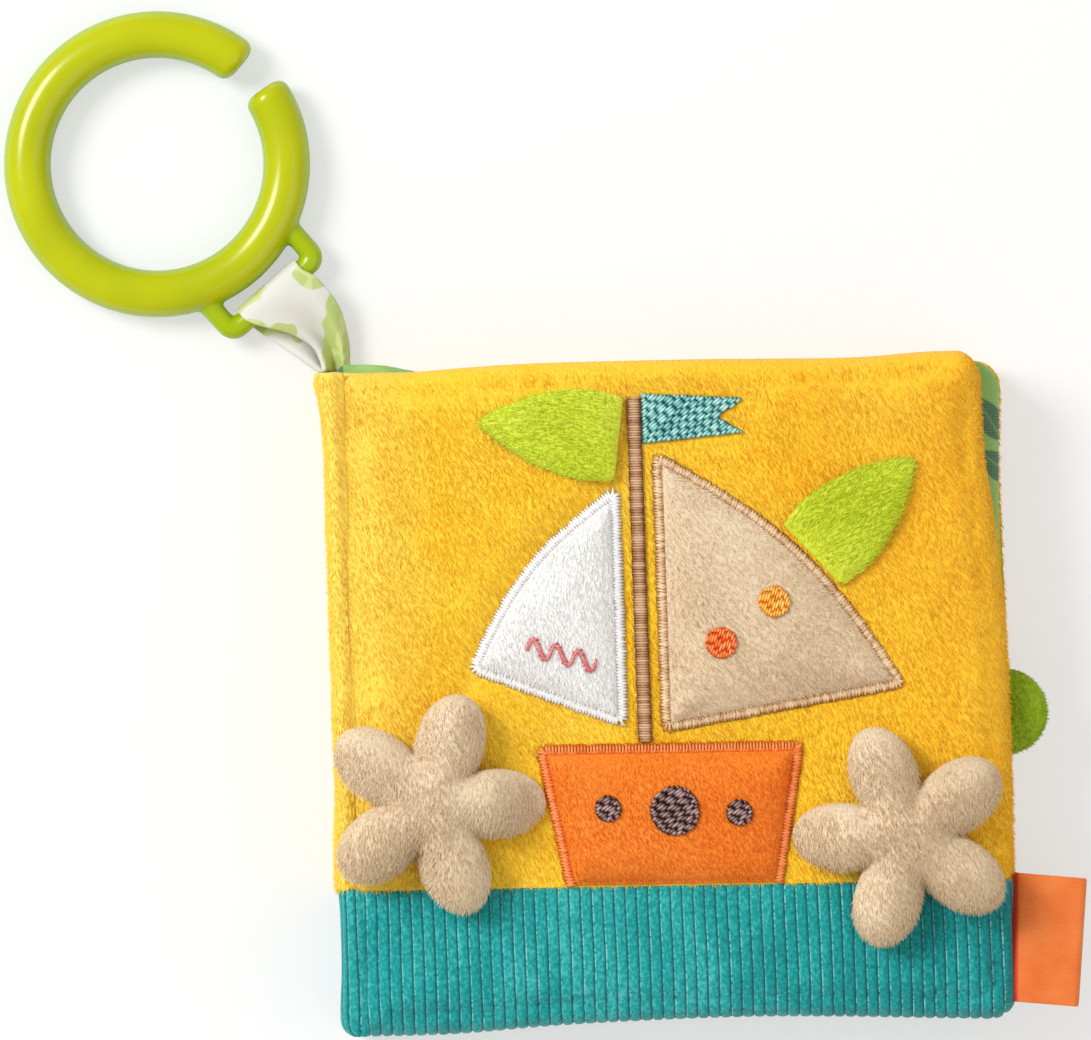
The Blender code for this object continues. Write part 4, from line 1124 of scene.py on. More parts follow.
FOLD_START = (-63.2 * MM, 0, 22.0 * MM)
FOLD_END = (-61.2 * MM, 0, 24.0 * MM)
LOWER_FOLD = tuple((x, y, 2 * SPINE_MIDDLE - z) for x, y, z in (FOLD_START, FOLD_END))
for half, path, bodies, folds, seed in (
    ("upper", UPPER_PATH, ("spine", "front_cover"), (FOLD_START, FOLD_END), 1.7),
    ("lower", mirrored(UPPER_PATH), ("spine", "back_cover"), LOWER_FOLD, 6.1),
):
    plush_half, _, _ = strip(
        f"spine_{half}_plush", path, thick=SPINE_THICK, low=BAND_TOP - 0.5 * MM, high=HEAD - 0.3 * MM,
        every=(0.5 * MM, 1.6 * MM), finish=yellow_plush, wave=0.5 * MM, seed=seed, width=spine_width)
    half_pile = piled(
        plush_half, f"spine_{half}_pile", yellow_plush, hairs=2.2e6, length=1.3 * MM, width=0.34 * MM,
        nap=(0.0, -1.0, 0.1), seed=4, wander=1.0,
        where=lambda middles, normals: (normals[:, 0] < 0.6) & (middles[:, 0] < FOLD_X))
    teal_half, teal_across, teal_full = strip(
        f"spine_{half}_corduroy", [(x + 0.7 * MM, z - 0.2 * MM) for x, z in path],
        thick=SPINE_THICK, low=FOOT - 0.6 * MM, high=BAND_TOP - 0.2 * MM, every=(0.3 * MM, 1.6 * MM),
        finish=teal_corduroy, wave=0.4 * MM, seed=seed, width=spine_width)
    teal_across = teal_across - teal_across.max() * (half == "upper")  # ends in a furrow, at the cover
    teal_half = waled_cloth(teal_half, teal_across, teal_full, teal_corduroy)
    for piece in (plush_half, half_pile, teal_half):
        rested(piece)
        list(bodies)
        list(folds)
        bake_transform(piece)
    if half == "upper":
        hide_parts("spine_plush")
        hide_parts("spine_corduroy")

lining_path = ((-62.5 * MM, 1.2 * MM), (-62.7 * MM, SPINE_MIDDLE), (-62.5 * MM, 23.2 * MM))
spine_lining, _, _ = strip(
    "spine_inner_cloth", lining_path, thick=0.5 * MM, low=FOOT + 1.2 * MM, high=HEAD - 1.2 * MM,
    every=(1.2 * MM, 2.4 * MM), finish=green_print, wave=0.1 * MM, seed=2.0, width=spine_width)
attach(spine_lining, "spine")
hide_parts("spine_lining")

# The pages: two padded leaves of printed cotton, lime on the back and green on the front, with
# wadding and a crinkle foil inside. Beside the spine each is only its flat seam strip.
PAGE_HALF = 2.5 * MM
STRIP_HALF = 0.7 * MM
PAGE_LEVELS = (15.0 * MM, 9.5 * MM)
STRIP_WIDTH = 6 * MM
PAGE_HEAD_WAVE = (
    (-68, 1.2), (-58, 1.3), (-52, 1.0), (-46, -0.2), (-38, -0.8), (30, -0.8), (52, -0.1), (70, 0.1),
)
page_line = leaf_outline(
    LEAF_LEFT, FREE_EDGE, FOOT + 1 * MM, HEAD, lean=2.7 * MM, free=6 * MM, pull=(0.7, 0, 0, 0),
    every=1.6 * MM, head=PAGE_HEAD_WAVE)
lime_print = printed_cotton(
    "lime_print_cotton", (186, 214, 104), (226, 236, 170), (122, 170, 54), (150, 190, 84), 0.31)


def leaf_half(x, y, d, seed):
    """Half a leaf's thickness: thin in the seam strip, then full, quilted by its seam."""
    past_strip = roll(np.maximum(x - LEAF_LEFT - STRIP_WIDTH + 1.5 * MM, 0), 7 * MM)
    full = (PAGE_HALF - STRIP_HALF) * roll(d, 9 * MM) * past_strip
    return STRIP_HALF * roll(d, 1 * MM) + full * (1 + 0.12 * clouds(x, y, 13 * MM, seed))


for number, level in enumerate(PAGE_LEVELS, 1):
    leaf = sewn(
        f"page_{number}", page_line, every=2.0 * MM, edge=3.0 * MM,
        top=lambda x, y, d: level + 0.05 * MM + leaf_half(x, y, d, 21.0 + number),
        under=lambda x, y, d: level - 0.05 * MM - leaf_half(x, y, d, 31.0 + number),
        seam=lambda x, y: level + 0.25 * MM * float(clouds([x], [y], 11 * MM, 40.0 + number)[0]),
        finish=green_print, lower=lime_print,
    )
    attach(leaf, f"page_{number}")
    layers = ("front", "back", "crinkle_foil", "wadding", "seam_strip")
    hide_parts(*(f"page_{number}_{layer}" for layer in layers))

# The tab on the first page's free edge: two half rounds of lime plush, lightly filled, by which a
# small hand turns the leaf.
TAB_MIDDLE = -4.3 * MM
TAB_REACH = 8.6 * MM
TAB_HALF_WIDTH = 8.4 * MM
TAB_HALF_THICK = 1.9 * MM
tab_side = FREE_EDGE + 1.2 * MM
tab_line = np.array([
    (tab_side + TAB_REACH * math.cos(turn), TAB_MIDDLE + TAB_HALF_WIDTH * math.sin(turn))
    for turn in np.linspace(-math.pi / 2, math.pi / 2, 26)
] + [
    (tab_side - 1.5 * MM, TAB_MIDDLE + TAB_HALF_WIDTH * share) for share in np.linspace(1, -1, 12)
])
FLUFFY = (1500, 900, 1200)
# The tab's plush is the lime plush darkened: painted shade, for the shadow that the tab lies in.
tab_plush_painted_shade = plush("tab_plush_painted_shade", (118, 148, 18), (146, 176, 34), (176, 200, 56), nap=FLUFFY)
tab = sewn(
    "page_tab_pad", tab_line, every=1.1 * MM, edge=1.8 * MM,
    top=lambda x, y, d: PAGE_LEVELS[0] + TAB_HALF_THICK * roll(d, 3.2 * MM),
    under=lambda x, y, d: PAGE_LEVELS[0] - TAB_HALF_THICK * roll(d, 3.2 * MM),
    seam=PAGE_LEVELS[0], finish=tab_plush_painted_shade,
)
tab_pile = piled(
    tab, "page_tab_pile", tab_plush_painted_shade, hairs=4e6, length=0.6 * MM, width=0.24 * MM, nap=(1.0, -0.3, 0.0),
    where=lambda middles, normals: middles[:, 0] > tab_side, seed=6, wander=1.0)
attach(tab, "page_1")
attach(tab_pile, "page_1")
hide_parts("page_tab")

# The boat's hull and its two sails: plush patches over a little wadding, stitched down on the cover
# all round by a border of satin stitch. The hull's foot goes into the corduroy's seam instead.
PICTURE_BASE = COVER_LEVEL
beige_plush = plush("beige_plush", (208, 180, 142), (234, 211, 177), (249, 234, 208), turn=(0, 0, 0.5))
white_plush = plush("white_plush", (238, 234, 231), (250, 249, 247), (254, 253, 252))
orange_plush = plush("orange_plush", (234, 112, 22), (248, 138, 42), (254, 162, 72))


def embroidery(name, deep, mid, pale):
    """Rayon thread: shiny, with a painted highlight along the crown of each stitch and painted shade
    towards its ends.
    """
    cloth = Finish(name, 0.32, Specular_IOR_Level=0.6)
    strands = cloth.noise((2400, 2400, 2400), 2.0)
    # painted highlight: paler at each stitch's crown, and painted shade towards its ends
    tone = cloth.marked("shade") * 0.3 + cloth.marked("crown") * 0.5 + strands * 0.4 - 0.15
    cloth.coloured(cloth.shades(tone, (0.15, dyed(*deep)), (0.45, dyed(*mid)), (0.8, dyed(*pale))))
    cloth.raised(strands, 0.08 * MM, 0.5)
    return cloth.material


stitches = Pattern("stitches", Thread="Float", Arch="Float", Finish="Material")
stitch_run = stitches.kept("run", "FLOAT_VECTOR")
stitch_bar = stitches.node("GeometryNodeMeshCylinder", {"fill_type": "NGON"}, {
    "Vertices": 4, "Side Segments": 5, "Radius": 0.5, "Depth": 1.0,
})
stitch_bar = stitches.node("GeometryNodeTransform", None, {
    "Geometry": stitch_bar, "Rotation": (0, math.pi / 2, 0),
})
bar_place = stitches.node("GeometryNodeInputPosition")
bar_along, bar_side, bar_up = (stitches.part(bar_place, axis) for axis in "XYZ")
bar_crown = 1 - bar_along * bar_along * 4
bar_shape = stitches.node("ShaderNodeCombineXYZ", None, {
    0: bar_along, 1: bar_side * stitches.size("Thread"),
    2: bar_up * stitches.size("Thread") + bar_crown * stitches.size("Arch"),
})
# The crown is kept for each point, and the thread's finish paints a highlight along it.
stitch_bar = stitches.keeping(stitch_bar, "crown", bar_crown)
stitch_bar = stitches.node("GeometryNodeSetPosition", None, {
    "Geometry": stitch_bar, "Position": bar_shape,
})
stitch_points = stitches.node("GeometryNodeMeshToPoints", None, {"Mesh": stitches.size("Geometry")})
stitch_shade = stitches.node("FunctionNodeRandomValue", {"data_type": "FLOAT"}, {
    2: 0.0, 3: 1.0, "Seed": 8,
}, output=1)
stitch_points = stitches.keeping(stitch_points, "shade", stitch_shade)
stitch_length = stitches.vectors("LENGTH", stitch_run, output=1)
stitch_turn = stitches.node("FunctionNodeAlignRotationToVector", {"axis": "X"}, {"Vector": stitch_run})
stitch_size = stitches.node("ShaderNodeCombineXYZ", None, {0: stitch_length, 1: 1.0, 2: 1.0})
laid = stitches.node("GeometryNodeInstanceOnPoints", None, {
    "Points": stitch_points, "Instance": stitch_bar, "Rotation": stitch_turn, "Scale": stitch_size,
})
stitches.ends(laid, stitches.size("Finish"))


def stitched(name, starts, ends, thread, arch, finish):
    """Straight stitches, each from a start to an end, bowed up between them."""
    starts, ends = askew(starts), askew(ends)
    run = ends - starts
    run[run[:, 0] < 0] *= -1
    middles = (starts + ends) / 2
    mesh = bpy.data.meshes.new(name)
    mesh.from_pydata([tuple(m) for m in middles], [], [])
    attribute = mesh.attributes.new("run", "FLOAT_VECTOR", "POINT")
    attribute.data.foreach_set("vector", run.astype(np.float32).ravel())
    made = stitches.worked(made_object(f"{name}_stitches", mesh), Thread=thread, Arch=arch, Finish=finish)
    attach(made, "front_cover")
    return made


def along_line(points, every, closed):
    """Even steps along a line, with the way it runs at each, eased round its corners."""
    points = np.concatenate([points, points[:1]]) if closed else np.asarray(points)
    runs = np.concatenate([[0], np.cumsum(np.linalg.norm(np.diff(points, axis=0), axis=1))])
    count = round(runs[-1] / every)
    at = np.linspace(0, runs[-1], count, endpoint=not closed)

    def place(distance):
        distance = np.mod(distance, runs[-1]) if closed else np.clip(distance, 0, runs[-1])
        return np.stack([np.interp(distance, runs, points[:, k]) for k in range(2)], axis=1)

    way = place(at + 0.9 * MM) - place(at - 0.9 * MM)
    return place(at), way / np.linalg.norm(way, axis=1)[:, None]


SATIN_PITCH = 0.62 * MM


def satin_border(name, line, width, finish, closed):
    """A dense zigzag over a patch's edge."""
    places, way = along_line(line, SATIN_PITCH / 2, closed)
    out = np.stack((way[:, 1], -way[:, 0]), axis=1)
    rng = np.random.default_rng(len(places))
    reach = width / 2 * (1 + 0.08 * rng.standard_normal((len(places), 1)))
    side = np.where(np.arange(len(places)) % 2, -1, 1)[:, None]
    level = PICTURE_BASE + 0.05 * MM - side * 0.3 * MM
    turns = np.concatenate([places + side * out * reach, level], axis=1)
    made = stitched(
        name, turns[:-1], turns[1:], thread=0.42 * MM, arch=0.7 * MM, finish=finish)
    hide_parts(name)


def patch(name, line, finish, nap, seed, hair=0.8 * MM):
    """A puffed patch with its pile."""
    def top(x, y, d):
        past = np.maximum(d - 1.0 * MM, 0)
        puff = 2.1 * MM * roll(past, 5 * MM) * (1 + 0.08 * clouds(x, y, 11 * MM, seed))
        return PICTURE_BASE + 0.55 * MM * roll(d, 0.8 * MM) + puff

    made = sewn(
        f"{name}_patch", line, every=1.3 * MM, edge=1.6 * MM, top=top,
        under=lambda x, y, d: np.full_like(x, PICTURE_BASE - 0.7 * MM), seam=PICTURE_BASE - 0.2 * MM,
        finish=finish,
    )
    places = places_of(made)
    inside = from_seam(straightened(places)[:, :2], line)
    held = (inside < 1.2 * MM) | (places[:, 2] < PICTURE_BASE)
    moved_to(made, places + swollen(made, held, cap=0.9 * MM, pressure=2.5))
    hairs = piled(
        made, f"{name}_pile", finish, hairs=4.6e6, length=hair, width=0.26 * MM, nap=nap,
        where=lambda middles, normals: (normals[:, 2] > 0.2) & (middles[:, 2] > PICTURE_BASE + 0.5 * MM),
        seed=seed, wander=1.2)
    for piece in (made, hairs):
        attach(piece, "front_cover")
    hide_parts(name)
    return made


orange_satin = embroidery("orange_border_thread", (214, 84, 20), (242, 118, 40), (255, 164, 96))
tan_satin = embroidery("tan_border_thread", (126, 70, 30), (202, 150, 100), (250, 224, 184))
white_satin = embroidery("white_border_thread", (206, 202, 204), (240, 238, 238), (253, 252, 252))
hull = patch("hull", hull_line, orange_plush, nap=(0.4, -1.0, 0.0), seed=2)
mainsail = patch(
    "mainsail", mainsail_line, beige_plush, nap=(0.8, -0.7, 0.0), seed=3, hair=1.1 * MM)
jib = patch(
    "jib", jib_line, white_plush, nap=(-0.15, -1.0, 0.0), seed=4, hair=1.1 * MM)
hull_sides = np.concatenate([
    hull_line[np.linalg.norm(hull_line - hull_corners[1], axis=1).argmin():], hull_line[:1],
])
satin_border("hull_border", hull_sides, 2.3 * MM, orange_satin, closed=False)
satin_border("mainsail_border", mainsail_line, 2.4 * MM, tan_satin, closed=True)
satin_border("jib_border", jib_line, 2.4 * MM, white_satin, closed=True)

# The embroidery: mast and pennant on the cover, portholes on the hull, spots and a wave on the sails.
# Each filled shape is rayon thread laid over a thin underlay of the same thread; the wave is stitches
# alone.
def surface_under(made):
    """Finds the height of a piece's top under a point."""
    places = straightened(places_of(made))
    lowest = min(np.median(places[:, 2]) - 0.2 * MM, PICTURE_BASE - 0.1 * MM)
    tree = kdtree.KDTree(len(places))
    for k, (x, y, z) in enumerate(places):
        if z > lowest:
            tree.insert((x, y, 0), k)
    tree.balance()

    def level(points):
        found = []
        for x, y in points:
            near = tree.find_n((x, y, 0), 3)
            found.append(sum(places[k, 2] for _, k, _ in near) / 3)
        return np.array(found)[:, None]
    return level


def on_cover(points):
    x, y = points.T
    return cover_top(x, y, inside_by(x, y, front_line))[:, None] + 0.1 * MM


def rows_across(line, turn, pitch, reach):
    """Stitches in rows at an angle over a shape: each row is cut to it and broken into stitches.

    Pitch is from row to row, and reach is how long a stitch may be.
    """
    spin = np.array(((math.cos(turn), math.sin(turn)), (-math.sin(turn), math.cos(turn))))
    turned_line = line @ spin.T
    rng = np.random.default_rng(1)
    starts, ends = [], []
    low, high = turned_line[:, 1].min(), turned_line[:, 1].max()
    for k, y in enumerate(np.arange(low + pitch / 2, high, pitch)):
        crossings = []
        for a, b in zip(turned_line, np.roll(turned_line, -1, axis=0)):
            if (a[1] > y) != (b[1] > y):
                crossings.append(a[0] + (b[0] - a[0]) * (y - a[1]) / (b[1] - a[1]))
        crossings.sort()
        for left, right in zip(crossings[::2], crossings[1::2]):
            left, right = left - 0.15 * MM * rng.random(), right + 0.15 * MM * rng.random()
            breaks = [left]
            step = left + reach * (0.45 + 0.55 * ((k * 0.618) % 1))
            while step < right - 0.5 * MM:
                breaks.append(step)
                step += reach
            breaks.append(right)
            for a, b in zip(breaks, breaks[1:]):
                starts.append((a, y))
                ends.append((b, y))
    return np.array(starts) @ spin, np.array(ends) @ spin


def filled(name, line, turn, pitch, reach, level, finish):
    """A filled shape of thread, over its underlay."""
    def cloth_at(x, y):
        return level(np.stack((x, y), axis=1))[:, 0]

    rows = rows_across(line, turn, pitch, reach)
    starts, ends = (np.concatenate([points, level(points) + 0.35 * MM], axis=1) for points in rows)
    made = stitched(
        name, starts, ends, thread=pitch * 1.05, arch=0.3 * MM, finish=finish)
    ground = sewn(
        f"{name}_underlay", inset(line, 0.15 * MM), every=1.2 * MM, edge=0.4 * MM,
        top=lambda x, y, d: cloth_at(x, y) + 0.36 * MM * roll(d, 0.5 * MM),
        under=lambda x, y, d: cloth_at(x, y) - 0.3 * MM,
        seam=lambda x, y: float(cloth_at([x], [y])[0]) - 0.1 * MM, finish=finish,
    )
    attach(ground, "front_cover")
    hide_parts(name)


def round_line(middle, width):
    """The outline of a round spot."""
    turns = np.linspace(0, 2 * math.pi, 28, endpoint=False)
    return middle + np.stack((np.cos(turns), np.sin(turns)), axis=1) * width / 2


teal_thread = embroidery("teal_thread", (10, 88, 88), (92, 176, 172), (196, 240, 236))
dark_thread = embroidery("brown_thread", (26, 10, 8), (92, 60, 58), (190, 158, 156))
tan_thread = embroidery("tan_thread", (116, 66, 34), (176, 124, 84), (232, 194, 156))
orange_thread = embroidery("orange_thread", (224, 72, 14), (248, 104, 34), (255, 168, 92))
yellow_thread = embroidery("yellow_thread", (236, 128, 10), (252, 168, 38), (255, 214, 110))
coral_thread = embroidery("coral_thread", (196, 66, 70), (226, 98, 98), (240, 160, 158))

filled(
    "pennant", pennant_line, turn=math.radians(40), pitch=0.55 * MM, reach=2.2 * MM,
    level=on_cover, finish=teal_thread)
filled(
    "mast", mast_line, turn=0.0, pitch=0.5 * MM, reach=7 * MM,
    level=on_cover, finish=tan_thread)
on_hull, on_mainsail, on_jib = surface_under(hull), surface_under(mainsail), surface_under(jib)
for name, share, width in (
    ("bow_porthole", (-0.24, -0.36), 5 * MM), ("middle_porthole", (0.03, -0.37), 9.5 * MM),
    ("stern_porthole", (0.29, -0.38), 5 * MM),
):
    filled(
        name, round_line(share * PICTURE_HALF, width), turn=math.radians(35), pitch=0.55 * MM,
        reach=2.2 * MM, level=on_hull, finish=dark_thread)
for name, share, finish in (
    ("orange_spot", (0.24, 0.17), orange_thread), ("yellow_spot", (0.46, 0.30), yellow_thread),
):
    filled(
        name, round_line(share * PICTURE_HALF, 6 * MM), turn=math.radians(70), pitch=0.5 * MM,
        reach=2.2 * MM, level=on_mainsail, finish=finish)

wave_start, wave_end = np.array((-0.54, 0.17)) * PICTURE_HALF, np.array((-0.27, 0.11)) * PICTURE_HALF
wave_shares = np.linspace(0, 1, 121)[:, None]
wave_line = wave_start + (wave_end - wave_start) * wave_shares
wave_line[:, 1] += 1.6 * MM * np.sin(6 * math.pi * wave_shares[:, 0])
wave_places, wave_way = along_line(wave_line, 0.62 * MM, False)
wave_lift = on_jib(wave_places) + 0.3 * MM
slant = np.stack((-wave_way[:, 1], wave_way[:, 0]), axis=1) * 0.28 * MM
wave_starts = np.concatenate([wave_places - wave_way * 0.85 * MM - slant, wave_lift], axis=1)
wave_ends = np.concatenate([wave_places + wave_way * 0.85 * MM + slant, wave_lift], axis=1)
wave = stitched(
    "stitched_wave", wave_starts, wave_ends, thread=0.5 * MM, arch=0.3 * MM, finish=coral_thread)
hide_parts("stitched_wave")

# The row of topstitching beside the spine's fold, in yellow thread.
row_thread = embroidery("row_thread", (214, 150, 20), (250, 196, 48), (255, 224, 110))
ROW_STITCH = 2.6 * MM
ROW_STEP = 3.1 * MM
row_lows = np.arange(BAND_TOP + 1 * MM, HEAD - 6 * MM, ROW_STEP)
row_across = np.full_like(row_lows, STITCH_X)
row_level = cover_top(row_across, row_lows, np.full_like(row_lows, 9 * MM)) + 0.1 * MM
topstitch = stitched(
    "spine_topstitch", np.stack((row_across, row_lows, row_level), axis=1),
    np.stack((row_across, row_lows + ROW_STITCH, row_level), axis=1), thread=0.5 * MM,
    arch=0.2 * MM, finish=row_thread,
)
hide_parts("spine_topstitch")

# Two loose flaps of lime plush, like leaves. Each is sewn in by its root, under the mast's stitches or
# the mainsail's border, and lifts from there.
FLAP_SHARES = (
    (0.0, -0.5), (0.25, -0.55), (0.6, -0.42), (0.9, -0.16), (1.0, 0.0), (0.9, 0.16), (0.6, 0.42),
    (0.25, 0.55), (0.0, 0.5),
)
FLAP_LEVEL = 26.3 * MM
FLAP_LENGTH = 27 * MM
FLAP_WIDTH = 16 * MM
LEECH_SHARE = 0.46  # how far up the mainsail's outer edge its flap is sewn in
leech_corner, leech_head = mainsail_corners[1:]
leech_run = leech_head - leech_corner
leech_out = np.array((leech_run[1], -leech_run[0])) / np.linalg.norm(leech_run)
leech_place = leech_corner + leech_run * LEECH_SHARE
leech_place = leech_place + leech_out * MAINSAIL_BULGE * math.sin(math.pi * LEECH_SHARE)
lime_plush = plush("lime_plush", (188, 206, 26), (218, 230, 62), (236, 242, 104), nap=FLUFFY)


def flap(name, root, turn, seed):
    """Sewn in at its root, and pointing away from it at a turn from the right."""
    along = np.array((math.cos(turn), math.sin(turn)))
    across = np.array((-along[1], along[0]))
    line = [(share_x * FLAP_LENGTH, share_y * FLAP_WIDTH) for share_x, share_y in FLAP_SHARES]
    line, _ = rounded_path(line, 1.0 * MM)
    back = np.linspace(line[-1], line[0], 16)[1:-1]
    local = np.concatenate([line, back])
    placed = root + local[:, :1] * along + local[:, 1:] * across

    def out(x, y):
        return np.clip((np.stack((x, y), axis=1) - root) @ along / FLAP_LENGTH, 0, 1)

    def half(x, y, d):
        fuller = 0.55 + 0.45 * roll(out(x, y), 0.4)
        return 1.5 * MM * roll(d, 4 * MM) * fuller * (1 + 0.1 * clouds(x, y, 7 * MM, seed))

    def sag(x, y):
        return 0.9 * MM * np.sin(out(x, y) * math.pi) * 0.5 - 0.2 * MM

    made = sewn(
        f"{name}_plush", placed, every=1.1 * MM, edge=2.2 * MM,
        top=lambda x, y, d: FLAP_LEVEL + half(x, y, d) + sag(x, y),
        under=lambda x, y, d: FLAP_LEVEL - 0.8 * half(x, y, d) + sag(x, y),
        seam=lambda x, y: FLAP_LEVEL + float(sag(np.array([x]), np.array([y]))[0]), finish=lime_plush,
    )
    hairs = piled(
        made, f"{name}_pile", lime_plush, hairs=4.4e6, length=1.2 * MM, width=0.28 * MM,
        nap=(*along, 0.1), where=lambda middles, normals: normals[:, 2] > -0.5, seed=seed, wander=1.0)
    bend_start, bend_end = (root + along * way for way in (-0.2 * MM, 2.6 * MM))
    for piece in (made, hairs):
        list(bend_start)
        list(bend_end)
        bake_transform(piece)
    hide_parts(name)


mast_base = np.array((-0.08, -0.15)) * PICTURE_HALF
mast_root = mast_base + (mast_head - mast_base) * 0.88 - np.array((3.1 * MM, 0))
flap("mast_flap", mast_root, turn=math.radians(172), seed=5)
leech_turn = math.radians(42)
leech_root = leech_place + np.array((math.cos(leech_turn), math.sin(leech_turn))) * 1.7 * MM
flap("leech_flap", leech_root, turn=leech_turn, seed=6)

# The two starfish: five-armed shapes of beige plush, sewn right sides out and stuffed firm with fibre.
# One arm of each is caught under the hull's border, so that the rest stands free of the cover.
STAR_REACH = 22 * MM
STAR_CORE = 10 * MM
STAR_ARMS = 5
STAR_POINTS = 150
STAR_SEAM_HEIGHT = 4.6 * MM


def star(name, side, share, seed):
    """Sewn to the left or right side of the hull, at a share of the picture's height."""
    turns = 2 * math.pi * np.arange(STAR_POINTS) / STAR_POINTS
    lobe = ((1 + np.cos(STAR_ARMS * turns)) / 2) ** 0.55
    reach = STAR_CORE + (STAR_REACH - STAR_CORE) * lobe
    line = np.stack((reach * np.cos(turns), reach * np.sin(turns)), axis=1)
    height = share * PICTURE_HALF[1]
    foot, deck = (hull_corners[0], hull_corners[3]) if side < 0 else (hull_corners[1], hull_corners[2])
    edge = foot[0] + (deck[0] - foot[0]) * (height - foot[1]) / (deck[1] - foot[1])
    tip = np.array((edge + side * 1.4 * MM, height))

    def loft(x):
        run = np.clip((STAR_REACH - x) / (12 * MM), 0, 1)
        return 0.22 + 0.78 * run * run * (3 - 2 * run)

    made = sewn(
        f"{name}_body", line, every=1.25 * MM, edge=2.4 * MM,
        top=lambda x, y, d: (STAR_SEAM_HEIGHT + 6.6 * MM * roll(d, 9 * MM)) * loft(x),
        under=lambda x, y, d: (STAR_SEAM_HEIGHT - 4.1 * MM * roll(d, 7 * MM)) * loft(x),
        seam=lambda x, y: STAR_SEAM_HEIGHT * float(loft(np.array([x]))[0]), finish=beige_plush,
    )
    places = straightened(places_of(made))
    held = places[:, 0] > STAR_REACH - 3.5 * MM
    moved_to(made, places)
    places = places + swollen(made, held, cap=1.3 * MM, pressure=5.0)
    places = np.stack((
        tip[0] + side * (STAR_REACH - places[:, 0]), tip[1] + side * places[:, 1],
        PICTURE_BASE + np.maximum(places[:, 2], 0.25 * MM),
    ), axis=1)
    moved_to(made, askew(places))
    made.data.flip_normals()
    hairs = piled(
        made, f"{name}_pile", beige_plush, hairs=4.6e6, length=1.3 * MM, width=0.27 * MM,
        nap=(0.2 * side, -1.0, 0.1), where=lambda middles, normals: normals[:, 2] > -0.6,
        seed=seed, wander=1.5)
    bend_start, bend_end = ((tip[0] + side * way, tip[1], PICTURE_BASE) for way in (-0.2 * MM, 4.0 * MM))
    for piece in (made, hairs):
        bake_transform(piece)
        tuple(bend_start)
        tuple(bend_end)
    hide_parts(f"{name}_front", f"{name}_back", f"{name}_filling")


star("left_starfish", side=-1, share=-0.33, seed=8)
star("right_starfish", side=1, share=-0.46, seed=9)

# The label: a woven orange tape, folded double and caught in the free edge's seam, where it leans a
# little. It is red beside the seam and along its upper edge.
LABEL_LEAN = math.radians(5.7)
LABEL_WIDTH = 25 * MM
LABEL_BEND = (65.6 * MM, 67.8 * MM)
label_low = FOOT + 3.8 * MM
label_root = np.array((LABEL_BEND[0], label_low + LABEL_WIDTH / 2))
orange_tape = Finish("orange_tape", 0.55, Sheen_Weight=0.15, Specular_IOR_Level=0.35)
across_tape, up_tape = orange_tape.along("X"), orange_tape.along("Y")
twill_line = (across_tape - 0.5 * up_tape).folded(0.47 * MM)
tape_yarn = up_tape.folded(0.32 * MM)
tape_cloud = orange_tape.noise((160, 160, 160), 2.0)
tape_tone = twill_line * 0.35 + tape_yarn * 0.25 + tape_cloud * 0.5 - 0.05
tape_orange = orange_tape.shades(
    tape_tone, (0.15, dyed(224, 92, 20)), (0.5, dyed(246, 122, 42)), (0.9, dyed(252, 158, 88)))
# red beside the seam and along the upper edge
past_seam = (across_tape - 0.04 * up_tape).above(69.24 * MM, 0.6 * MM)
upper_edge = label_root[1] + 12.2 * MM + math.tan(LABEL_LEAN) * label_root[0]
in_edge = (up_tape + math.tan(LABEL_LEAN) * across_tape).above(upper_edge, 0.3 * MM)
red_bands = (1 - past_seam + in_edge).clipped()
orange_tape.coloured(orange_tape.mixed(red_bands, tape_orange, dyed(214, 48, 18)))
orange_tape.raised(twill_line * 0.6 + tape_yarn * 0.4, 0.12 * MM, 0.6)
label_path = (
    (63.6, 18.65), (65.3, 18.8), (66.8, 19.9), (68.6, 20.75), (74.0, 20.8), (78.8, 20.75), (79.7, 21.2),
    (78.8, 21.65), (74.0, 21.75), (68.6, 21.7), (66.6, 20.8), (65.1, 19.5), (63.6, 19.1),
)
woven_label, _, _ = strip(
    "label_tape", [(x * MM, z * MM) for x, z in label_path], thick=0.4 * MM, low=label_low,
    high=label_low + LABEL_WIDTH, every=(0.5 * MM, 0.9 * MM), finish=orange_tape.material,
)
tape_places = places_of(woven_label)
lean_cos, lean_sin = math.cos(LABEL_LEAN), math.sin(LABEL_LEAN)
leaning = np.array(((lean_cos, -lean_sin), (lean_sin, lean_cos)))
tape_places[:, :2] = (tape_places[:, :2] - label_root) @ leaning + label_root
moved_to(woven_label, tape_places)
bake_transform(woven_label)
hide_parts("woven_label")

# The ring: one moulding in glossy lime plastic, with a mouth to push a rail or a strap through and a
# square bail for the ribbon, rounded off where the two meet.
RING_MIDDLE = np.array((-95.3 * MM, 107.3 * MM))
RING_WIDTH = 60 * MM
RING_THICKNESS = 9.2 * MM
RING_RADIUS = (RING_WIDTH - RING_THICKNESS) / 2
MOUTH_WIDTH = 6.3 * MM
MOUTH_TURN = math.radians(40.5)
END_ROUND = 2.2 * MM
BAIL_TURN = math.radians(-50.2)
BAIL_REACH = 36.5 * MM
BAIL_THICKNESS = 4.2 * MM
BAIL_WIDTH = 21.7 * MM
BAIL_ROUND = 1.6 * MM
bail_out = np.array((math.cos(BAIL_TURN), math.sin(BAIL_TURN)))
bail_side = np.array((-bail_out[1], bail_out[0]))


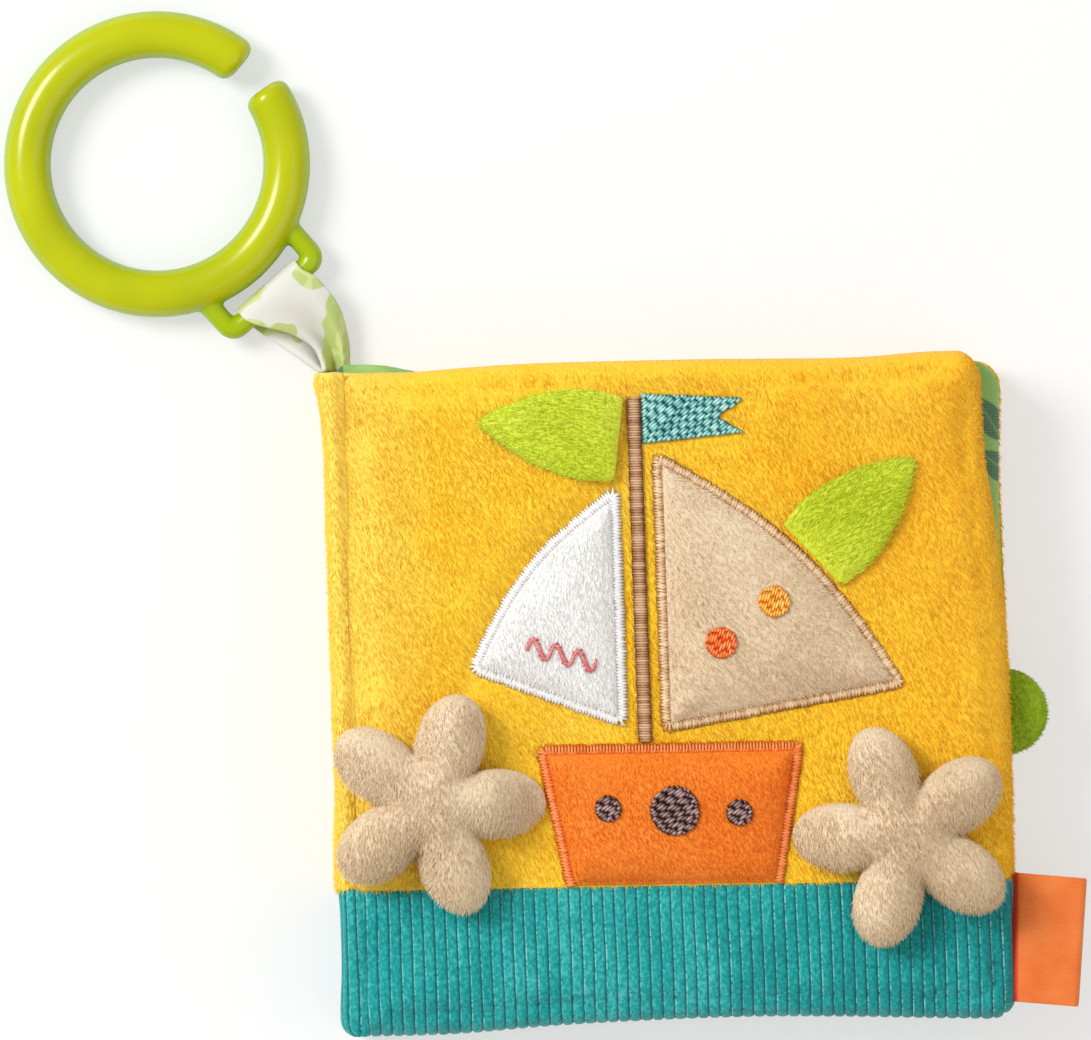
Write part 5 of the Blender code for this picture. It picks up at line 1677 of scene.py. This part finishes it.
def tube(bm, path, radii, sides):
    """A closed round bar along a level path, with rounded ends."""
    path = np.array(path)
    way = np.gradient(path, axis=0)
    way /= np.linalg.norm(way, axis=1)[:, None]
    rings = []
    for (x, y), (u, v), radius in zip(path, way, radii):
        ring = []
        for k in range(sides):
            turn = 2 * math.pi * k / sides
            side, up = radius * math.cos(turn), radius * math.sin(turn)
            ring.append(bm.verts.new((x - v * side, y + u * side, RING_THICKNESS / 2 + up)))
        rings.append(ring)
    for one, two in zip(rings, rings[1:]):
        for k in range(sides):
            bm.faces.new((one[k], one[(k + 1) % sides], two[(k + 1) % sides], two[k]))
    bm.faces.new(rings[0][::-1])
    bm.faces.new(rings[-1])


plastic = Finish("lime_plastic", 0.22, Specular_IOR_Level=0.5)
plastic_cloud = plastic.noise((60, 60, 60), 2.0)
plastic_tone = plastic.shades(plastic_cloud, (0.35, dyed(182, 190, 0)), (0.65, dyed(194, 199, 0)))
# painted shade: the plastic is greener low on its sides, where the moulding is shaded
painted_low_shade = ((8.2 * MM - plastic.along("Z")) / (4.4 * MM)).clipped()  # greener low on its side
plastic.coloured(plastic.mixed(painted_low_shade, plastic_tone, dyed(120, 176, 2)))
plastic.rough(plastic.noise((500, 500, 500), 2.0) * 0.12 + 0.16)
bm = bmesh.new()
half_mouth = math.asin(MOUTH_WIDTH / 2 / RING_RADIUS)
ring_length = (2 * math.pi - 2 * half_mouth) * RING_RADIUS
ring_path, ring_radii = [], []
for distance in np.concatenate([
    np.linspace(0, END_ROUND, 8), np.linspace(END_ROUND, ring_length - END_ROUND, 180)[1:-1],
    ring_length - np.linspace(END_ROUND, 0, 8),
]):
    turn = MOUTH_TURN + half_mouth + distance / RING_RADIUS
    ring_path.append(RING_MIDDLE + RING_RADIUS * np.array((math.cos(turn), math.sin(turn))))
    bite = 1 - min(min(distance, ring_length - distance) / END_ROUND, 1)
    ring_radii.append(RING_THICKNESS / 2 - END_ROUND + END_ROUND * math.sqrt(max(1 - bite * bite, 0)))
tube(bm, ring_path, ring_radii, 40)
bail_half = BAIL_WIDTH / 2
bail_bar = BAIL_REACH - BAIL_THICKNESS / 2
bail_inner = math.sqrt(RING_RADIUS ** 2 - bail_half ** 2)
leg = [(out, -bail_half) for out in np.linspace(bail_inner, bail_bar - BAIL_ROUND, 9)[:-1]]
for turn in np.radians(np.linspace(0, 90, 7)):
    leg.append((bail_bar - BAIL_ROUND + BAIL_ROUND * math.sin(turn),
                -bail_half + BAIL_ROUND - BAIL_ROUND * math.cos(turn)))
leg += [(bail_bar, side) for side in np.linspace(-bail_half + BAIL_ROUND, 0, 9)[1:]]
route, _ = rounded_path(leg + [(out, -side) for out, side in leg[-2::-1]], 0.5 * MM)
tube(bm, [RING_MIDDLE + bail_out * out + bail_side * side for out, side in route],
     [BAIL_THICKNESS / 2] * len(route), 24)
ring_mesh = bpy.data.meshes.new("ring_moulding")
bm.to_mesh(ring_mesh)
bm.free()
clip_ring = made_object("ring_moulding", ring_mesh, plastic.material)
melt = clip_ring.modifiers.new("Moulded", "REMESH")
melt.mode = "VOXEL"
melt.voxel_size = 0.42 * MM
ease = clip_ring.modifiers.new("Eased", "SMOOTH")
ease.factor = 0.5
ease.iterations = 8
as_mesh(clip_ring)
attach(clip_ring, "ring")
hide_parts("clip_ring")

# The ribbon: printed satin, 15 mm wide, out of the seam at the spine's top corner, round the bail's
# bar and back. It is gathered where the seam holds both its ends.
satin = Finish("printed_satin", 0.4, Sheen_Weight=0.2, Specular_IOR_Level=0.45, Anisotropic=0.4)
satin_twill = (satin.along("X") * 0.64 - satin.along("Y") * 0.77).folded(0.3 * MM)
blotch = satin.noise((105, 105, 60), 1.5).above(0.53, 0.02)
leafy = satin.noise((230, 230, 230), 1.0).above(0.52, 0.03)
satin_tint = satin.mixed(blotch * 0.95, dyed(224, 223, 214), dyed(178, 200, 80))
satin_tint = satin.mixed(blotch * leafy * 0.7, satin_tint, dyed(214, 224, 132))
satin.coloured(satin.mixed(satin_twill * 0.22, satin_tint, (1, 1, 1, 1)))
satin.raised(satin_twill, 0.08 * MM, 0.5)
bar_middle = RING_MIDDLE + bail_out * bail_bar
RIBBON_WIDTH = 15 * MM
RIBBON_THICK = 0.3 * MM
RIBBON_ROWS = 34
RIBBON_COLUMNS = 40
WRAP = BAIL_THICKNESS / 2 + 0.55 * MM
WRAP_STEPS = 12
BAR_LEVEL = RING_THICKNESS / 2
ROOT_LEVEL = 3.25 * MM


def ribbon_edge(*points):
    """One edge of the ribbon, seen from above, in even rows from the seam to the bar."""
    line, _ = rounded_path(np.array(points) * MM, 0.5 * MM)
    at = np.linspace(0, len(line) - 1, RIBBON_ROWS)
    return np.stack([np.interp(at, np.arange(len(line)), line[:, k]) for k in range(2)], axis=1)


def ribbon_layer(left, right, level_root, level_bar):
    """One layer of the ribbon between its two edges: gathered at the root and flat on the bar."""
    grid = np.zeros((RIBBON_ROWS, RIBBON_COLUMNS, 3))
    for r, share in enumerate(np.linspace(0, 1, RIBBON_ROWS)):
        a, b = left[r], right[r]
        slack = max(RIBBON_WIDTH ** 2 - np.linalg.norm(b - a) ** 2, 0) ** 0.5
        wave = min(slack / (math.pi * 3.1), 2.2 * MM)
        ease = share * share * (3 - 2 * share)
        for c in range(RIBBON_COLUMNS):
            s = c / (RIBBON_COLUMNS - 1)
            fold = wave * math.sin(3 * math.pi * s + 0.5) * (1 - ease) ** 0.6
            grid[r, c] = (*(a + (b - a) * s), level_root + (level_bar - level_root) * ease + fold)
    return grid


bar_left = (bar_middle - bail_side * RIBBON_WIDTH / 2) / MM
bar_right = (bar_middle + bail_side * RIBBON_WIDTH / 2) / MM
left_front = ribbon_edge(
    (-64.4, 65.6), (-64.6, 67.4), (-66.2, 70.6), (-70.4, 73.2), (-76.5, 75.0), bar_left)
right_both = ribbon_edge(
    (-59.0, 65.6), (-59.0, 68.0), (-59.1, 71.8), (-60.6, 78.1), (-64.4, 83.6), bar_right)
left_back = ribbon_edge((-64.9, 65.4), (-68.2, 67.8), (-72.4, 70.9), (-76.6, 73.9), bar_left)
front_grid = ribbon_layer(left_front, right_both, ROOT_LEVEL + 0.5 * MM, BAR_LEVEL + WRAP)
back_grid = ribbon_layer(left_back, right_both, ROOT_LEVEL - 0.5 * MM, BAR_LEVEL - WRAP)
round_rows = []
for step in range(1, WRAP_STEPS):
    angle = math.pi * step / WRAP_STEPS
    row = front_grid[-1].copy()
    row[:, :2] -= bail_out * WRAP * math.sin(angle)
    row[:, 2] = BAR_LEVEL + WRAP * math.cos(angle)
    round_rows.append(row)
ribbon_grid = np.concatenate([front_grid, round_rows, back_grid[::-1]])
ribbon_normals = np.cross(np.gradient(ribbon_grid, axis=0), np.gradient(ribbon_grid, axis=1))
ribbon_normals /= np.linalg.norm(ribbon_normals, axis=2)[..., None]
front_side = ribbon_grid + ribbon_normals * RIBBON_THICK / 2
back_side = ribbon_grid - ribbon_normals * RIBBON_THICK / 2
rows_count = len(ribbon_grid)


def four(*corners):
    """A face through four points, each given by its row, its column and its side of the ribbon."""
    return tuple((side * rows_count + r) * RIBBON_COLUMNS + c for r, c, side in corners)


faces = []
for r in range(rows_count - 1):
    for c in range(RIBBON_COLUMNS - 1):
        faces.append(four((r, c, 0), (r + 1, c, 0), (r + 1, c + 1, 0), (r, c + 1, 0)))
        faces.append(four((r, c, 1), (r, c + 1, 1), (r + 1, c + 1, 1), (r + 1, c, 1)))
    for c in (0, RIBBON_COLUMNS - 1):
        faces.append(four((r, c, 0), (r, c, 1), (r + 1, c, 1), (r + 1, c, 0)))
for c in range(RIBBON_COLUMNS - 1):
    for r in (0, rows_count - 1):
        faces.append(four((r, c, 0), (r, c + 1, 0), (r, c + 1, 1), (r, c, 1)))
ribbon_mesh = bpy.data.meshes.new("satin_ribbon")
ribbon_points = np.concatenate([front_side.reshape(-1, 3), back_side.reshape(-1, 3)])
ribbon_mesh.from_pydata([tuple(p) for p in ribbon_points], [], faces)
bm = bmesh.new()
bm.from_mesh(ribbon_mesh)
bmesh.ops.recalc_face_normals(bm, faces=bm.faces)
bm.to_mesh(ribbon_mesh)
bm.free()
ribbon_mesh.shade_smooth()
ribbon = made_object("satin_ribbon", ribbon_mesh, satin.material)
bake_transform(ribbon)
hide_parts("ribbon_loop")
